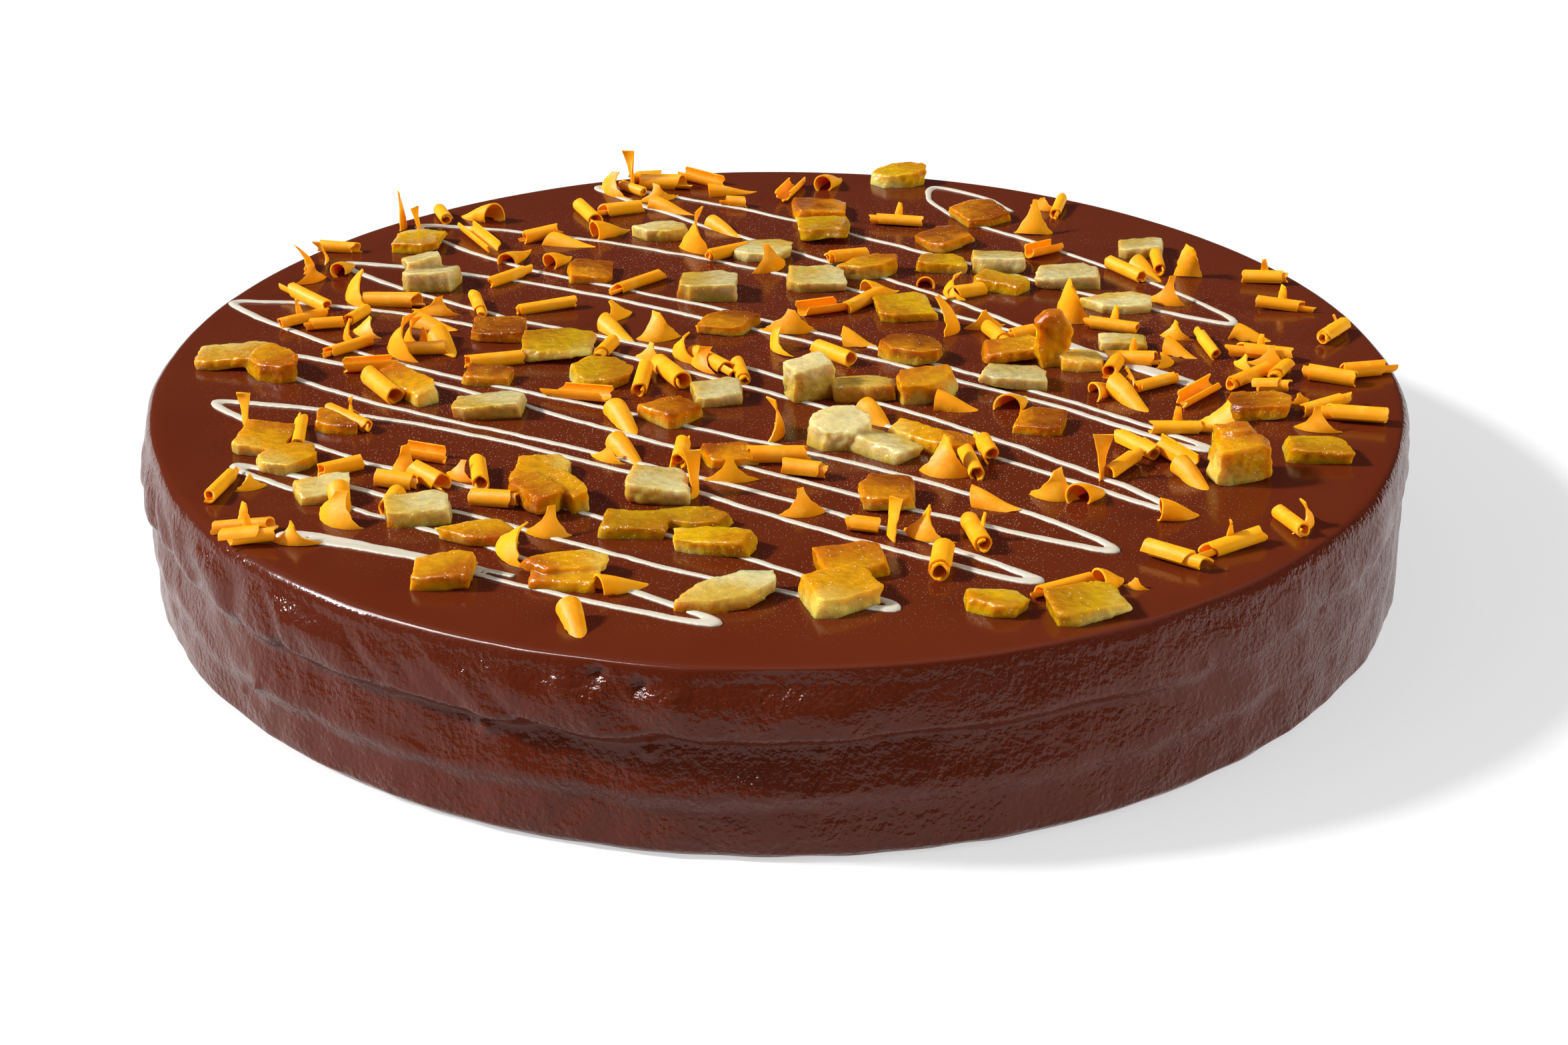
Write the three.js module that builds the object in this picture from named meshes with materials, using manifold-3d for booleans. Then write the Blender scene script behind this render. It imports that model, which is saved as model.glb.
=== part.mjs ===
// Chocolate orange cake: a round layer cake under dark chocolate glaze, with a zigzag of white chocolate,
// diced candied orange peel and orange chocolate curls on top.
// Millimetres, +Z up. The origin is the middle of the flat underside.
import * as THREE from 'three';
import { mergeVertices } from 'three/addons/utils/BufferGeometryUtils.js';
import Module from 'manifold-3d';

const wasm = await Module();
wasm.setup();

// Cake: driving sizes
const CAKE_RADIUS = 130;
const CAKE_HEIGHT = 36;
const CAKE_SIDES = 64;
const RIM_ROUND = 3;
const RIM_ARC_DEGREES = [30, 60, 90];
const FOOT_INSET = 1.2;
const FOOT_HEIGHT = 1.4;

// The glaze sinks into two seams between the sponge layers and runs in shallow waves round the side.
const SEAM_HEIGHTS = [11, 23];
const SEAM_DEPTH = 1.2;
const SEAM_SPREAD = 1.5;
const LAYER_MIDDLES = [5.5, 17, 29];
const GLAZE_WAVES = [[0.35, 5, 0.6], [0.25, 11, 2.1], [0.2, 17, 4.0]]; // depth, waves per turn, phase

// Gap left between the peel and whatever it lies on or beside
const GAP = 0.35;
const KEEP_CLEAR = 0.45;

// White chocolate zigzag: width at the base, height above the glaze, depth under it, length of one step
const DRIZZLE_WIDTH = 2.2;
const DRIZZLE_HEIGHT = 0.9;
const DRIZZLE_SINK = 0.5;
const DRIZZLE_STEP = 18;
const DROP_CROWN = DRIZZLE_WIDTH * 0.4;
const DROP_BASE = DRIZZLE_WIDTH * 0.7;
const DROP_SIDES = 6;

// Each row is one stroke, as x and y from the middle of the top, and runs on to the next row's first point.
const DRIZZLE_STROKES = [
  [[57.5, 96.5], [51, 107]],
  [[39, 114], [38.5, 102], [66.5, 68.5], [95, 34]],
  [[99.5, 23], [84, 31], [36, 66.5], [-18.5, 104]],
  [[-45, 115], [-20, 89], [33, 43], [63, 11]],
  [[86, -11], [52, 18.3], [-8, 58.7], [-56, 80.5]],
  [[-86, 86], [-72, 68.5], [-12, 31.2], [38.3, -3.3], [74, -32]],
  [[84, -43], [53.3, -19.5], [-17.5, 27.2], [-60.3, 49.7]],
  [[-100, 60.5], [-82, 42.6], [-2.5, -4.3], [41.7, -36.7]],
  [[73.5, -69], [45.5, -48.7], [-6, -11.6], [-67.5, 22.9], [-103, 35]],
  [[-121, 36], [-95, 11.4], [-15, -32.5], [36.7, -62.7]],
  [[60.5, -85.5], [32.5, -72.6], [-21, -40.4], [-73.3, -8]],
  [[-117, 10], [-94.5, -10.6], [-34, -44.5], [5.8, -67.2]],
  [[46, -97.5], [20.8, -85], [-34.2, -49.2], [-78.3, -27.5]],
  [[-114, -19], [-86.7, -42.8], [-36, -70], [5.5, -95.5]],
  [[20, -107], [-11.2, -95.8], [-57, -70.7]],
  [[-104, -49.5], [-83.7, -64.5], [-47, -87]],
  [[-10.5, -112], [-43.5, -99], [-64, -88]],
  [[-90, -78.5], [-72, -83.3]],
  [[-46, -95]],
];

// Outlines of a piece of peel, as shares of half its length and half its width
const SLAB = [[-1, -0.7], [-0.65, -1], [0.92, -0.95], [1, 0.55], [0.6, 1], [-0.92, 0.92]];
const PETAL = [
  [-1, -0.45], [-0.5, -1], [0.45, -1], [0.95, -0.4], [1, 0.3], [0.4, 0.95], [-0.4, 1], [-0.95, 0.45],
];
const LEAF = [[-1.1, 0.1], [-0.5, -0.75], [0.3, -1], [0.95, -0.55], [1.05, 0.25], [0.5, 0.9], [-0.3, 0.85]];
const LOZENGE = [[-1.1, -0.15], [-0.15, -1.05], [0.35, -0.95], [1.1, 0.15], [0.15, 1.05], [-0.4, 0.9]];

// Candied peel, by colour. A node is one piece, or a few that stick together.
// A piece is x, y, length, width, height, turn in degrees, how far it is lifted if it lies on another piece,
// and its outline if it isn't a slab.
const PEEL = {
  golden: [
    [[21, 54, 14, 8, 2.9, 25, 0, LEAF]],
    [
      [48.5, 4, 12.5, 8, 2.2, 0],
      [57.5, 1, 7.5, 3, 11.5, 15, 0, PETAL],
      [63.5, -0.5, 10, 9, 1.6, 35, 0, LEAF],
    ],
    [[30.5, -16, 14, 7.5, 4.4, 30, 0, PETAL]],
    [[27, -38.5, 14, 5.5, 2.2, -40], [34.5, -41, 9.5, 8, 1.6, 15, 0, PETAL]],
    [[88, -56, 12, 4.5, 7.5, 8], [86.5, -52, 9, 4, 9.5, 0]],
    [[-114.5, 2, 15, 11, 1.6, 0], [-105, -3, 14, 9, 3.5, -55, 0, PETAL]],
    [[-75, -14, 16, 6, 2.6, -50]],
    [[-100, -39.5, 11, 13, 1.9, -10], [-94, -48, 12, 10, 1.9, 30, 0, PETAL]],
    [[-53, -80.5, 13.5, 8.5, 1.6, 5, 0, LEAF]],
    [[-58.5, -96, 11, 8.5, 2.6, 8]],
    [[-37, -98, 13, 6, 1.6, -5], [-37.5, -94, 14, 8, 1.8, 8, 1, LEAF]],
    [[-44.5, -54.6, 11, 11, 1.6, 0], [-44.5, -66, 13, 7, 3.5, -60], [-39, -65, 11, 4.5, 3.4, -55]],
    [[13.3, -92.5, 13.5, 9.5, 2.6, 15], [10.2, -103.8, 13, 11, 2.9, 30]],
  ],
  amber: [
    [[-43, 53, 13, 12.5, 1.6, 45, 0, LOZENGE]],
    [[10.3, 95.5, 13.5, 13, 1.9, 0]],
    [[39, 74, 13, 13, 1.6, -25, 0, LOZENGE]],
    [[49.5, 92, 14.5, 14, 1.9, -15, 0, LOZENGE]],
    [[-11, 20.5, 14, 11, 1.6, 20, 0, LOZENGE]],
    [[-60.5, 17, 12, 9.5, 1.9, 0]],
    [[28.5, 4.5, 14, 10, 2.9, -25, 0, PETAL]],
    [[-21.3, -26, 11, 11, 2.2, 45]],
    [[20.7, -65.5, 13, 11, 2.6, 35, 0, LOZENGE]],
    [[52, -31.5, 13.5, 10, 1.6, 20, 0, LOZENGE]],
    [[95.8, -24.5, 13, 9.5, 2.2, -5]],
    [[-60, -8, 10.5, 6, 1.6, 0]],
    [[-87, -31, 12, 9, 1.6, -50, 0, LOZENGE]],
    [[-9.5, -46.5, 10.5, 8, 1.6, 10]],
  ],
  pale: [
    [[-78.5, 46.5, 13, 9, 3.6, 0], [-80.5, 50, 8.5, 7, 2.6, 20, 2.6]],
    [[-27, 79.5, 13, 9, 2.2, 5, 0, LEAF]],
    [[-4, 67, 14, 12, 1.6, 0, 0, PETAL]],
    [[-15.8, 42, 13.5, 11.5, 3.2, 0]],
    [[9, 47, 13.5, 9.5, 1.9, 0]],
    [[50.5, 57.5, 12, 9, 2.6, 0]],
    [[66, 47.5, 14, 8, 2.6, 0]],
    [[75, 33, 14.5, 9.5, 1.6, 0, 0, LEAF]],
    [[85, 67, 11, 8, 1.9, 0]],
    [[73.5, 10, 11, 6, 1.6, 0]],
    [[49, -10, 14.5, 7.5, 2.2, -5]],
    [[18, -16, 13, 8, 2.6, 0], [6.5, -17, 11, 4.5, 8.5, 25]],
    [[12, -38, 12.5, 9.5, 4.8, 0, 0, PETAL], [20, -43.4, 13, 7.5, 2.2, -30]],
    [[-12.3, -17.5, 10, 8.5, 2.2, 10]],
    [[-57.5, -23.3, 13.5, 8.5, 2.2, 0]],
    [[-85, -62, 10.5, 7.5, 1.9, 20]],
    [[-65.5, -72, 13, 7.5, 2.9, 10]],
    [[-22, -62, 12, 9.5, 2.9, 0]],
    [[-9, -104.5, 17, 8.5, 1.9, 25, 0, LEAF]],
  ],
  olive: [
    [[-84.5, 72.5, 15, 14, 1.6, 30, 0, LOZENGE]],
    [[30.5, 119.5, 13.5, 10, 2.9, 0, 0, PETAL]],
    [[11.3, 79.5, 12.5, 14, 2.2, 0]],
    [[37.5, 57.5, 11, 7.5, 1.9, 0]],
    [[50.5, 45, 12.5, 7, 1.9, -25]],
    [[-36.8, -7.8, 13, 11.5, 1.9, 0, 0, PETAL]],
    [[104, -45, 12, 8.5, 2.2, 0]],
    [[-26.5, -77, 13.5, 8, 1.9, 0], [-16, -74.6, 15.5, 6.5, 1.6, -10, 0, LEAF]],
    [[-11, -84, 15, 7, 2.2, -10]],
    [[36.5, -106, 11, 8.5, 1.6, -25, 0, LEAF]],
    [[53, -108, 13.5, 9, 2.2, 20]],
    [[28.3, 31, 13.5, 14, 1.6, 15]],
    [[-46.5, 7.5, 15.5, 14, 1.9, 10]],
  ],
};
const PEEL_COLOURS = { golden: '#d9a11b', amber: '#8f4a10', pale: '#d6c98f', olive: '#b89a1c' };

const PEEL_CORNER_DRIFT = 0.12;
const PEEL_RISE = 0.45; // share of its height by which a piece can be higher at one side than at the other
const PEEL_SLOPE = 0.02; // share by which the top is smaller than the base, for each millimetre of height
const PEEL_TOP_DRIFT = 0.08;
const PEEL_TILT_DEGREES = 4;

// Orange chocolate curls, all shaved from one block and so about as thick as each other
const CURL_SINK = 0.5;
const SHAVING = 1.1;
const ROLL_RADIUS = 2.1;
const ROLL_TAPER = 0.8;
const ROLL_SIDES = 6;
const SPIKE_HEIGHT = 5.5;
const SPIKE_BASE = 1.5;
const SPIKE_TIP = 0.3;
const SPIKE_SIDES = 4;
const CORNET_RADIUS = 2.6;
const CORNET_TIP = 0.5;
const TROUGH_RADIUS = 2.6;
const TROUGH_OPEN_DEGREES = 140;
const TROUGH_SEGMENTS = 2;
const SAIL_BOW = 0.62; // radius of a sail's curve, as a share of its width
const SAIL_HALF_DEGREES = 53;
const SAIL_SEGMENTS = 1;
const SAIL_LEAN = 0.35;

// Closed rolls: x, y, turn in degrees, length
const ROLLS = [
  [-104.5, 36.5, -42, 14], [-85.5, 34.5, -8, 13], [-66, 32, -75, 10], [-51, 31.5, 18, 14],
  [-91, 8, 38, 11], [-59, 0, 20, 13], [-80.5, -14, -55, 13], [-93.8, -36, -85, 11],
  [-104.5, -60, 80, 12], [-56.5, -55, -80, 10], [-52.5, -66.5, -15, 9], [0, -47.5, 5, 12],
  [5, -54, -12, 8], [29, -92, 82, 10], [37, -51, -80, 10], [66, -52, 50, 9], [69.5, -43.5, -55, 11],
  [70, -90, -35, 10], [93.5, -76, -70, 10], [49.5, -100.5, 27, 11], [19, 34, 45, 11], [12, 4, -50, 12],
  [119.5, 15, 52, 11], [122, -5.5, 18, 11], [114, -9, -18, 10.5], [91.5, 9, -80, 11],
  [77.5, -12, 30, 10.5], [97, -9.5, 42, 13], [110, -23.5, 25, 10], [115, -29, -12, 13],
  [68.5, 97, 75, 11], [79.5, 53, -55, 12], [87.5, 58, 88, 11], [-28.5, 115, -8, 11], [-46, 93, -65, 12],
  [-38.5, 95, 25, 10], [-56, 77, 25, 9], [-61, 50, 45, 11], [-31.5, 46, 43, 14], [-11.5, 65.5, 40, 13],
  [16, 61.5, 25, 10], [-13.5, -1, -55, 13], [-7.5, -6, -80, 10], [-28, -10, 85, 12], [-22, -7, -65, 14],
];

// Rolls with a thin horn standing on them: x, y, turn in degrees, length
const HORNED_ROLLS = [
  [-103.5, 24, 40, 11], [-75, 6.5, 3, 9], [-85, -29.5, -42, 13], [-97, -77, 0, 11], [-95, -82, 5, 8],
  [36, -81, -80, 12], [81, -85, 28, 12.5], [72.5, 19.5, -18, 11.5], [111.5, 31.5, -10, 11],
  [110.5, 48, -10, 10], [101.5, 3, -5, 11.5], [74.5, 1, -12, 11], [79, -34.5, 0, 11], [29, 87, -8, 12],
];

// Standing three-cornered flakes: x, y, turn in degrees, width, height
const SAILS = [
  [-89, 85, 80, 5, 9.5], [-106.5, 58, 95, 8, 6], [-96, 37, -65, 13, 7], [-82, 6, -60, 15, 9],
  [-75, 28.5, -10, 11, 4], [-80, 13, -70, 9, 6], [-71, -54.5, -15, 7, 6], [-82, -75, -40, 13, 6],
  [-87, -83, -10, 10, 4], [-41.5, -80.5, -5, 10, 5.5], [-49.5, -88, -60, 12, 6], [-14.7, -62, 80, 5, 9],
  [-9, -57, 0, 11, 5], [5, -72, 10, 10, 5], [19.7, -80, -80, 5, 8], [25.5, -82, -35, 12, 6],
  [31.5, -55.5, -12, 11.5, 7.5], [51.5, -65.5, -10, 10.5, 5.5], [97.5, -76, 60, 9, 5],
  [37.5, 40, -70, 10, 5], [3, 17, 5, 13, 5], [-1, 9, -75, 12, 5], [39.5, 19, 70, 9, 8],
  [63.5, 23.5, -28, 9, 9.5], [86, 34, -25, 9, 6], [103, -1, -10, 10, 4], [87, -33, -35, 10, 5],
  [106, -34.5, -20, 9.5, 5], [61, 79.5, -5, 9, 8], [93.5, 51, -10, 7, 7.5], [-43, 111, -65, 14, 5],
  [-35.7, 115, 95, 4, 10], [-29, 104, 15, 11, 4], [-20, 68, -35, 10, 10], [-0.5, 55, 35, 11, 6],
  [-25, 13, 10, 10, 6], [-21, 4, -60, 11, 5], [-17, -2, -55, 10, 5], [1.5, -35, 80, 10, 8],
];

// Cone-shaped curls, tip along the turn: x, y, turn in degrees, length
const CORNETS = [
  [-73, 92, 150, 11], [-99, 58, 80, 12], [-74, 21.5, -30, 11], [-70.5, 9, -65, 11],
  [-80.5, -68, -75, 9], [-25.5, -99, 20, 12], [-34, -114, -70, 9], [-28.5, -45.5, -60, 11],
  [40.5, -67, -30, 10], [59, -62.5, 50, 10], [79, -57.5, -60, 10], [74.5, -71.5, 10, 9],
  [103, 14, -20, 9], [67.5, -13, 50, 10], [72, -20, -60, 13], [48.5, -19.5, 60, 9],
  [37, -22.5, -15, 10], [85, 52, -60, 11], [14, 118, 65, 12], [-11, 110.5, 8, 12], [-25, 97, -30, 12],
  [-39, 81, 40, 11], [-48, 73, -20, 11], [-60, 65.5, 65, 12], [-50, 62, 60, 9], [-12, 82, -50, 11],
  [-34, 17, -55, 13], [-30, -31, -65, 11],
];

// Half-open curls: x, y, turn in degrees, length
const TROUGHS = [
  [-85, -2.5, 5, 11], [-68, -46.5, -15, 9], [76, -46.5, -60, 13], [10, 30, 20, 11],
  [85.5, -17.5, 45, 12], [62, 66.5, 40, 10], [3.5, 110, 75, 15], [-19, 118, -28, 13],
  [-70.5, 75, -58, 16], [-40, -17.5, -20, 13],
];

const { degToRad, seededRandom } = THREE.MathUtils;
const RANDOM_SEED = 7;

// A drift between -1 and 1, the same on every run
function drift() {
  return 2 * seededRandom() - 1;
}

// A closed geometry as a solid: positions only, shared corners merged, collapsed faces dropped
function solidOf(geometry) {
  const bare = geometry.index ? geometry.toNonIndexed() : geometry.clone();
  bare.deleteAttribute('normal');
  bare.deleteAttribute('uv');
  const merged = mergeVertices(bare, 1e-4);
  const corners = merged.index.array;
  const faces = [];
  for (let i = 0; i < corners.length; i += 3) {
    const [a, b, c] = corners.slice(i, i + 3);
    if (a !== b && b !== c && c !== a) {
      faces.push(a, b, c);
    }
  }
  const vertProperties = merged.attributes.position.array;
  return new wasm.Manifold(new wasm.Mesh({ numProp: 3, vertProperties, triVerts: new Uint32Array(faces) }));
}

// A solid's surface as a geometry
function geometryOf(solid) {
  const { vertProperties, triVerts } = solid.getMesh();
  const geometry = new THREE.BufferGeometry();
  geometry.setAttribute('position', new THREE.BufferAttribute(vertProperties, 3));
  geometry.setIndex(new THREE.BufferAttribute(triVerts, 1));
  geometry.computeVertexNormals();
  return geometry;
}

function joined(solids) {
  return wasm.Manifold.union(solids);
}

// The largest body of a solid, without the scraps that a cut leaves
function largestBody(solid) {
  const bodies = solid.decompose();
  return bodies.reduce((best, body) => (body.volume() > best.volume() ? body : best));
}

// Turns a shape that lies along X and stands on z = 0, and lays it on the cake's top
function layOnTop(geometry, x, y, turn, sink = CURL_SINK) {
  return geometry.rotateZ(degToRad(turn)).translate(x, y, CAKE_HEIGHT - sink);
}

// How far the glaze stands out from the plain cylinder at an angle and height
function glazeRelief(angle, z) {
  const seams = SEAM_HEIGHTS.map((seam) => Math.exp(-(((z - seam) / SEAM_SPREAD) ** 2)));
  const waves = GLAZE_WAVES.map(([depth, count, phase]) => depth * Math.sin(count * angle + phase));
  const sum = (list) => list.reduce((total, value) => total + value, 0);
  return sum(waves) * Math.sin((Math.PI * z) / CAKE_HEIGHT) - SEAM_DEPTH * sum(seams);
}

// The glazed cake: a turned profile with seams, waves and a rounded rim
function cakeBody() {
  const besideSeams = SEAM_HEIGHTS.flatMap((z) => [z - SEAM_SPREAD, z, z + SEAM_SPREAD]);
  const sideHeights = [...LAYER_MIDDLES, ...besideSeams].sort((a, b) => a - b);
  const rim = RIM_ARC_DEGREES.map((degrees) => {
    const angle = degToRad(degrees);
    const out = CAKE_RADIUS - RIM_ROUND + RIM_ROUND * Math.cos(angle);
    return new THREE.Vector2(out, CAKE_HEIGHT - RIM_ROUND + RIM_ROUND * Math.sin(angle));
  });
  const profile = [
    new THREE.Vector2(0, 0),
    new THREE.Vector2(CAKE_RADIUS - FOOT_INSET, 0),
    new THREE.Vector2(CAKE_RADIUS, FOOT_HEIGHT),
    ...sideHeights.map((z) => new THREE.Vector2(CAKE_RADIUS, z)),
    ...rim,
    new THREE.Vector2(0, CAKE_HEIGHT),
  ];
  const geometry = new THREE.LatheGeometry(profile, CAKE_SIDES).rotateX(Math.PI / 2);
  const position = geometry.attributes.position;
  for (let i = 0; i < position.count; i++) {
    const x = position.getX(i);
    const y = position.getY(i);
    const z = position.getZ(i);
    const radius = Math.hypot(x, y);
    const isSide = z > FOOT_HEIGHT / 2 && z < CAKE_HEIGHT - RIM_ROUND / 4;
    const scale = isSide ? 1 + glazeRelief(Math.atan2(y, x), z) / radius : 1;
    position.setXY(i, x * scale, y * scale);
  }
  return solidOf(geometry);
}

// One stroke of white chocolate: a low ridge along a smooth curve
function drizzleStroke(points) {
  const route = points.map(([x, y]) => new THREE.Vector3(x, y, CAKE_HEIGHT));
  const curve = new THREE.CatmullRomCurve3(route, false, 'centripetal');
  const base = DRIZZLE_WIDTH / 2;
  const section = new THREE.Shape();
  section.moveTo(DRIZZLE_SINK, -base);
  section.lineTo(DRIZZLE_SINK, base);
  section.lineTo(-DRIZZLE_HEIGHT, 0);
  const steps = Math.ceil(curve.getLength() / DRIZZLE_STEP);
  return solidOf(new THREE.ExtrudeGeometry(section, { steps, extrudePath: curve, bevelEnabled: false }));
}

// The rounder drop where the line turns back
function drizzleTurn([x, y]) {
  const tall = DRIZZLE_HEIGHT + DRIZZLE_SINK;
  const drop = new THREE.CylinderGeometry(DROP_CROWN, DROP_BASE, tall, DROP_SIDES);
  drop.rotateX(Math.PI / 2).translate(x, y, CAKE_HEIGHT - DRIZZLE_SINK + tall / 2);
  return solidOf(drop);
}

function drizzleSolids() {
  const turns = DRIZZLE_STROKES.map((row) => row[0]);
  const strokes = DRIZZLE_STROKES.slice(0, -1).map((row, i) => drizzleStroke([...row, turns[i + 1]]));
  return [...strokes, ...turns.map(drizzleTurn)];
}

// A tapered bar along X that stands on z = 0
function roundBar(length, radius, tip) {
  const bar = new THREE.CylinderGeometry(tip, radius, length, ROLL_SIDES).rotateZ(-Math.PI / 2);
  const slope = Math.asin((radius - tip) / length);
  bar.rotateY(slope);
  bar.computeBoundingBox();
  return bar.translate(0, 0, -bar.boundingBox.min.z);
}

function roll([x, y, turn, length]) {
  return solidOf(layOnTop(roundBar(length, ROLL_RADIUS, ROLL_RADIUS * ROLL_TAPER), x, y, turn));
}

function hornedRoll([x, y, turn, length]) {
  const horn = new THREE.CylinderGeometry(SPIKE_TIP, SPIKE_BASE, SPIKE_HEIGHT, SPIKE_SIDES);
  horn.rotateX(Math.PI / 2).translate(0, 0, ROLL_RADIUS + SPIKE_HEIGHT / 2);
  return joined([roll([x, y, turn, length]), solidOf(layOnTop(horn, x, y, turn))]);
}

function cornet([x, y, turn, length]) {
  return solidOf(layOnTop(roundBar(length, CORNET_RADIUS, CORNET_TIP), x, y, turn));
}

// A band of the given curve, one shaving thick, between two angles
function curvedBand(radius, from, to) {
  const band = new THREE.Shape();
  band.absarc(0, 0, radius, from, to, false);
  band.absarc(0, 0, radius - SHAVING, to, from, true);
  return band;
}

function trough([x, y, turn, length]) {
  const half = degToRad(TROUGH_OPEN_DEGREES / 2);
  const band = curvedBand(TROUGH_RADIUS, Math.PI / 2 + half, (5 * Math.PI) / 2 - half);
  const options = { depth: length, bevelEnabled: false, curveSegments: TROUGH_SEGMENTS };
  const geometry = new THREE.ExtrudeGeometry(band, options).translate(0, TROUGH_RADIUS, -length / 2);
  return solidOf(layOnTop(geometry.rotateX(Math.PI / 2).rotateZ(Math.PI / 2), x, y, turn));
}

// A curved flake that stands on its wide end and narrows to a leaning point
function sail([x, y, turn, width, height]) {
  const radius = width * SAIL_BOW;
  const half = degToRad(SAIL_HALF_DEGREES);
  const band = curvedBand(radius, -Math.PI / 2 - half, -Math.PI / 2 + half);
  const options = { depth: height, bevelEnabled: false, curveSegments: SAIL_SEGMENTS };
  const geometry = new THREE.ExtrudeGeometry(band, options).translate(0, radius, 0);
  const position = geometry.attributes.position;
  for (let i = 0; i < position.count; i++) {
    if (position.getZ(i) > height / 2) {
      position.setXY(i, 0, height * SAIL_LEAN);
    }
  }
  return solidOf(layOnTop(geometry, x, y, turn));
}

function curlSolids() {
  return [
    ...ROLLS.map(roll),
    ...HORNED_ROLLS.map(hornedRoll),
    ...SAILS.map(sail),
    ...CORNETS.map(cornet),
    ...TROUGHS.map(trough),
  ];
}

// A diced piece: a slab that is higher at one side and narrows upwards, grown all round by a clearance.
// A piece that is higher than wide is a slice that stands on edge, with its outline towards the viewer.
function peelPiece([x, y, length, width, height, turn, lift = 0], { corners, lean, rise, tilt }, clearance) {
  const onEdge = height > width;
  const across = onEdge ? height : width;
  const depth = onEdge ? width : height;
  const outline = new THREE.Shape(corners.map(([right, up]) => new THREE.Vector2(
    right * (length / 2 + clearance),
    up * (across / 2 + clearance),
  )));
  const geometry = new THREE.ExtrudeGeometry(outline, { depth, bevelEnabled: false });
  const position = geometry.attributes.position;
  const top = 1 - PEEL_SLOPE * depth;
  for (let i = 0; i < position.count; i++) {
    if (position.getZ(i) > depth / 2) {
      const right = position.getX(i);
      const up = position.getY(i);
      const share = 1 + rise[0] * (right / length) + rise[1] * (up / across);
      position.setXYZ(
        i,
        right * top + lean[0] * length,
        up * top + lean[1] * across,
        depth * share + 2 * clearance,
      );
    }
  }
  if (onEdge) {
    geometry.rotateX(Math.PI / 2).translate(0, depth / 2 + clearance, 0);
  }
  geometry.rotateX(degToRad(tilt[0])).rotateY(degToRad(tilt[1]));
  geometry.computeBoundingBox();
  geometry.translate(0, 0, -geometry.boundingBox.min.z);
  return solidOf(layOnTop(geometry, x, y, turn, clearance - GAP - lift));
}

// The uneven corners, the top's shift and slope, and the slight tilt of one piece
function drawPeelForm([, , , , , , , outline = SLAB]) {
  const corners = outline.map((corner) => corner.map((share) => share + PEEL_CORNER_DRIFT * drift()));
  const lean = [PEEL_TOP_DRIFT * drift(), PEEL_TOP_DRIFT * drift()];
  const rise = [PEEL_RISE * drift(), PEEL_RISE * drift()];
  const tilt = [PEEL_TILT_DEGREES * drift(), PEEL_TILT_DEGREES * drift()];
  return { corners, lean, rise, tilt };
}

// Every peel node, cut back where it comes too near an earlier one, and the space to keep clear of all
function peelNodes() {
  const nodes = [];
  const kept = [];
  for (const [colour, groups] of Object.entries(PEEL)) {
    groups.forEach((pieces, i) => {
      const forms = pieces.map(drawPeelForm);
      const whole = joined(pieces.map((piece, k) => peelPiece(piece, forms[k], 0)));
      const solid = largestBody(kept.length ? whole.subtract(joined(kept)) : whole);
      kept.push(...pieces.map((piece, k) => peelPiece(piece, forms[k], KEEP_CLEAR)));
      nodes.push({ name: `${colour}_peel_${i + 1}`, colour: PEEL_COLOURS[colour], solid });
    });
  }
  return { nodes, keepClear: joined(kept) };
}

function meshOf(name, solid, material) {
  const mesh = new THREE.Mesh(geometryOf(solid), new THREE.MeshStandardMaterial(material));
  mesh.name = name;
  return mesh;
}

seededRandom(RANDOM_SEED);
const { nodes, keepClear } = peelNodes();
const drizzle = joined(drizzleSolids()).subtract(keepClear);
const curls = curlSolids().filter((curl) => curl.intersect(keepClear).isEmpty());
const glazedCake = largestBody(joined([cakeBody(), drizzle, ...curls]));

const cake = new THREE.Group();
cake.add(meshOf('glazed_cake', glazedCake, { color: '#4a1d12', roughness: 0.3, metalness: 0 }));
for (const { name, colour, solid } of nodes) {
  cake.add(meshOf(name, solid, { color: colour, roughness: 0.35, metalness: 0 }));
}

export default cake;
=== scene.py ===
"""Chocolate orange cake: the looks of a round glazed cake with candied peel and chocolate curls.

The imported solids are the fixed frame. Each class below makes one sub-assembly of the cake in millimetres and
hands it over as a piece in metres, in the frame's own axes: +Z up, and the viewer at -Y.
"""

import logging
import math
import random
from collections.abc import Callable, Sequence
from dataclasses import dataclass
from enum import Enum

import bmesh
import bpy
from mathutils import Matrix, Vector, noise

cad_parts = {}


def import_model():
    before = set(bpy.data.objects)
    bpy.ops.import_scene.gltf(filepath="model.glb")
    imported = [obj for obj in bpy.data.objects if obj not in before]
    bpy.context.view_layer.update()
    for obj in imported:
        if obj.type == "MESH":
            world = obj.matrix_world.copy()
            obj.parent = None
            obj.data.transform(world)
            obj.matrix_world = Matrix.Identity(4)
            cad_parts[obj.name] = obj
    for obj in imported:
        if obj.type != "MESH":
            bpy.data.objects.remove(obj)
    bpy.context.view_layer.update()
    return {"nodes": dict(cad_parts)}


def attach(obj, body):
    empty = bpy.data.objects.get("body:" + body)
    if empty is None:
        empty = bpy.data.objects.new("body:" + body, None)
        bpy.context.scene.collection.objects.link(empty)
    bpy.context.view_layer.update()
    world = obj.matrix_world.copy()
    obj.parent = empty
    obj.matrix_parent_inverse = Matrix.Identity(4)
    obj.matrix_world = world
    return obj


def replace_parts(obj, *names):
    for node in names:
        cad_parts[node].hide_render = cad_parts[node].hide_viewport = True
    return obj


LOG = logging.getLogger("cake")

MM = 0.001

# From a place on a flat sheet, each way from -1 to 1, to the point where it lies once the sheet is bent
Bend = Callable[[float, float], Vector]

# Layers of smooth noise, each as how strong it is and how many millimetres apart its bumps are
Layers = tuple[tuple[float, float], ...]

ROOT_BODY = "root"

# Inputs and output of the colour form of Blender's Mix node, which share their names with its other forms
MIX_FACTOR, MIX_A, MIX_B = 0, 6, 7
COLOUR_MIX = {"out": 2, "data_type": "RGBA"}

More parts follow.
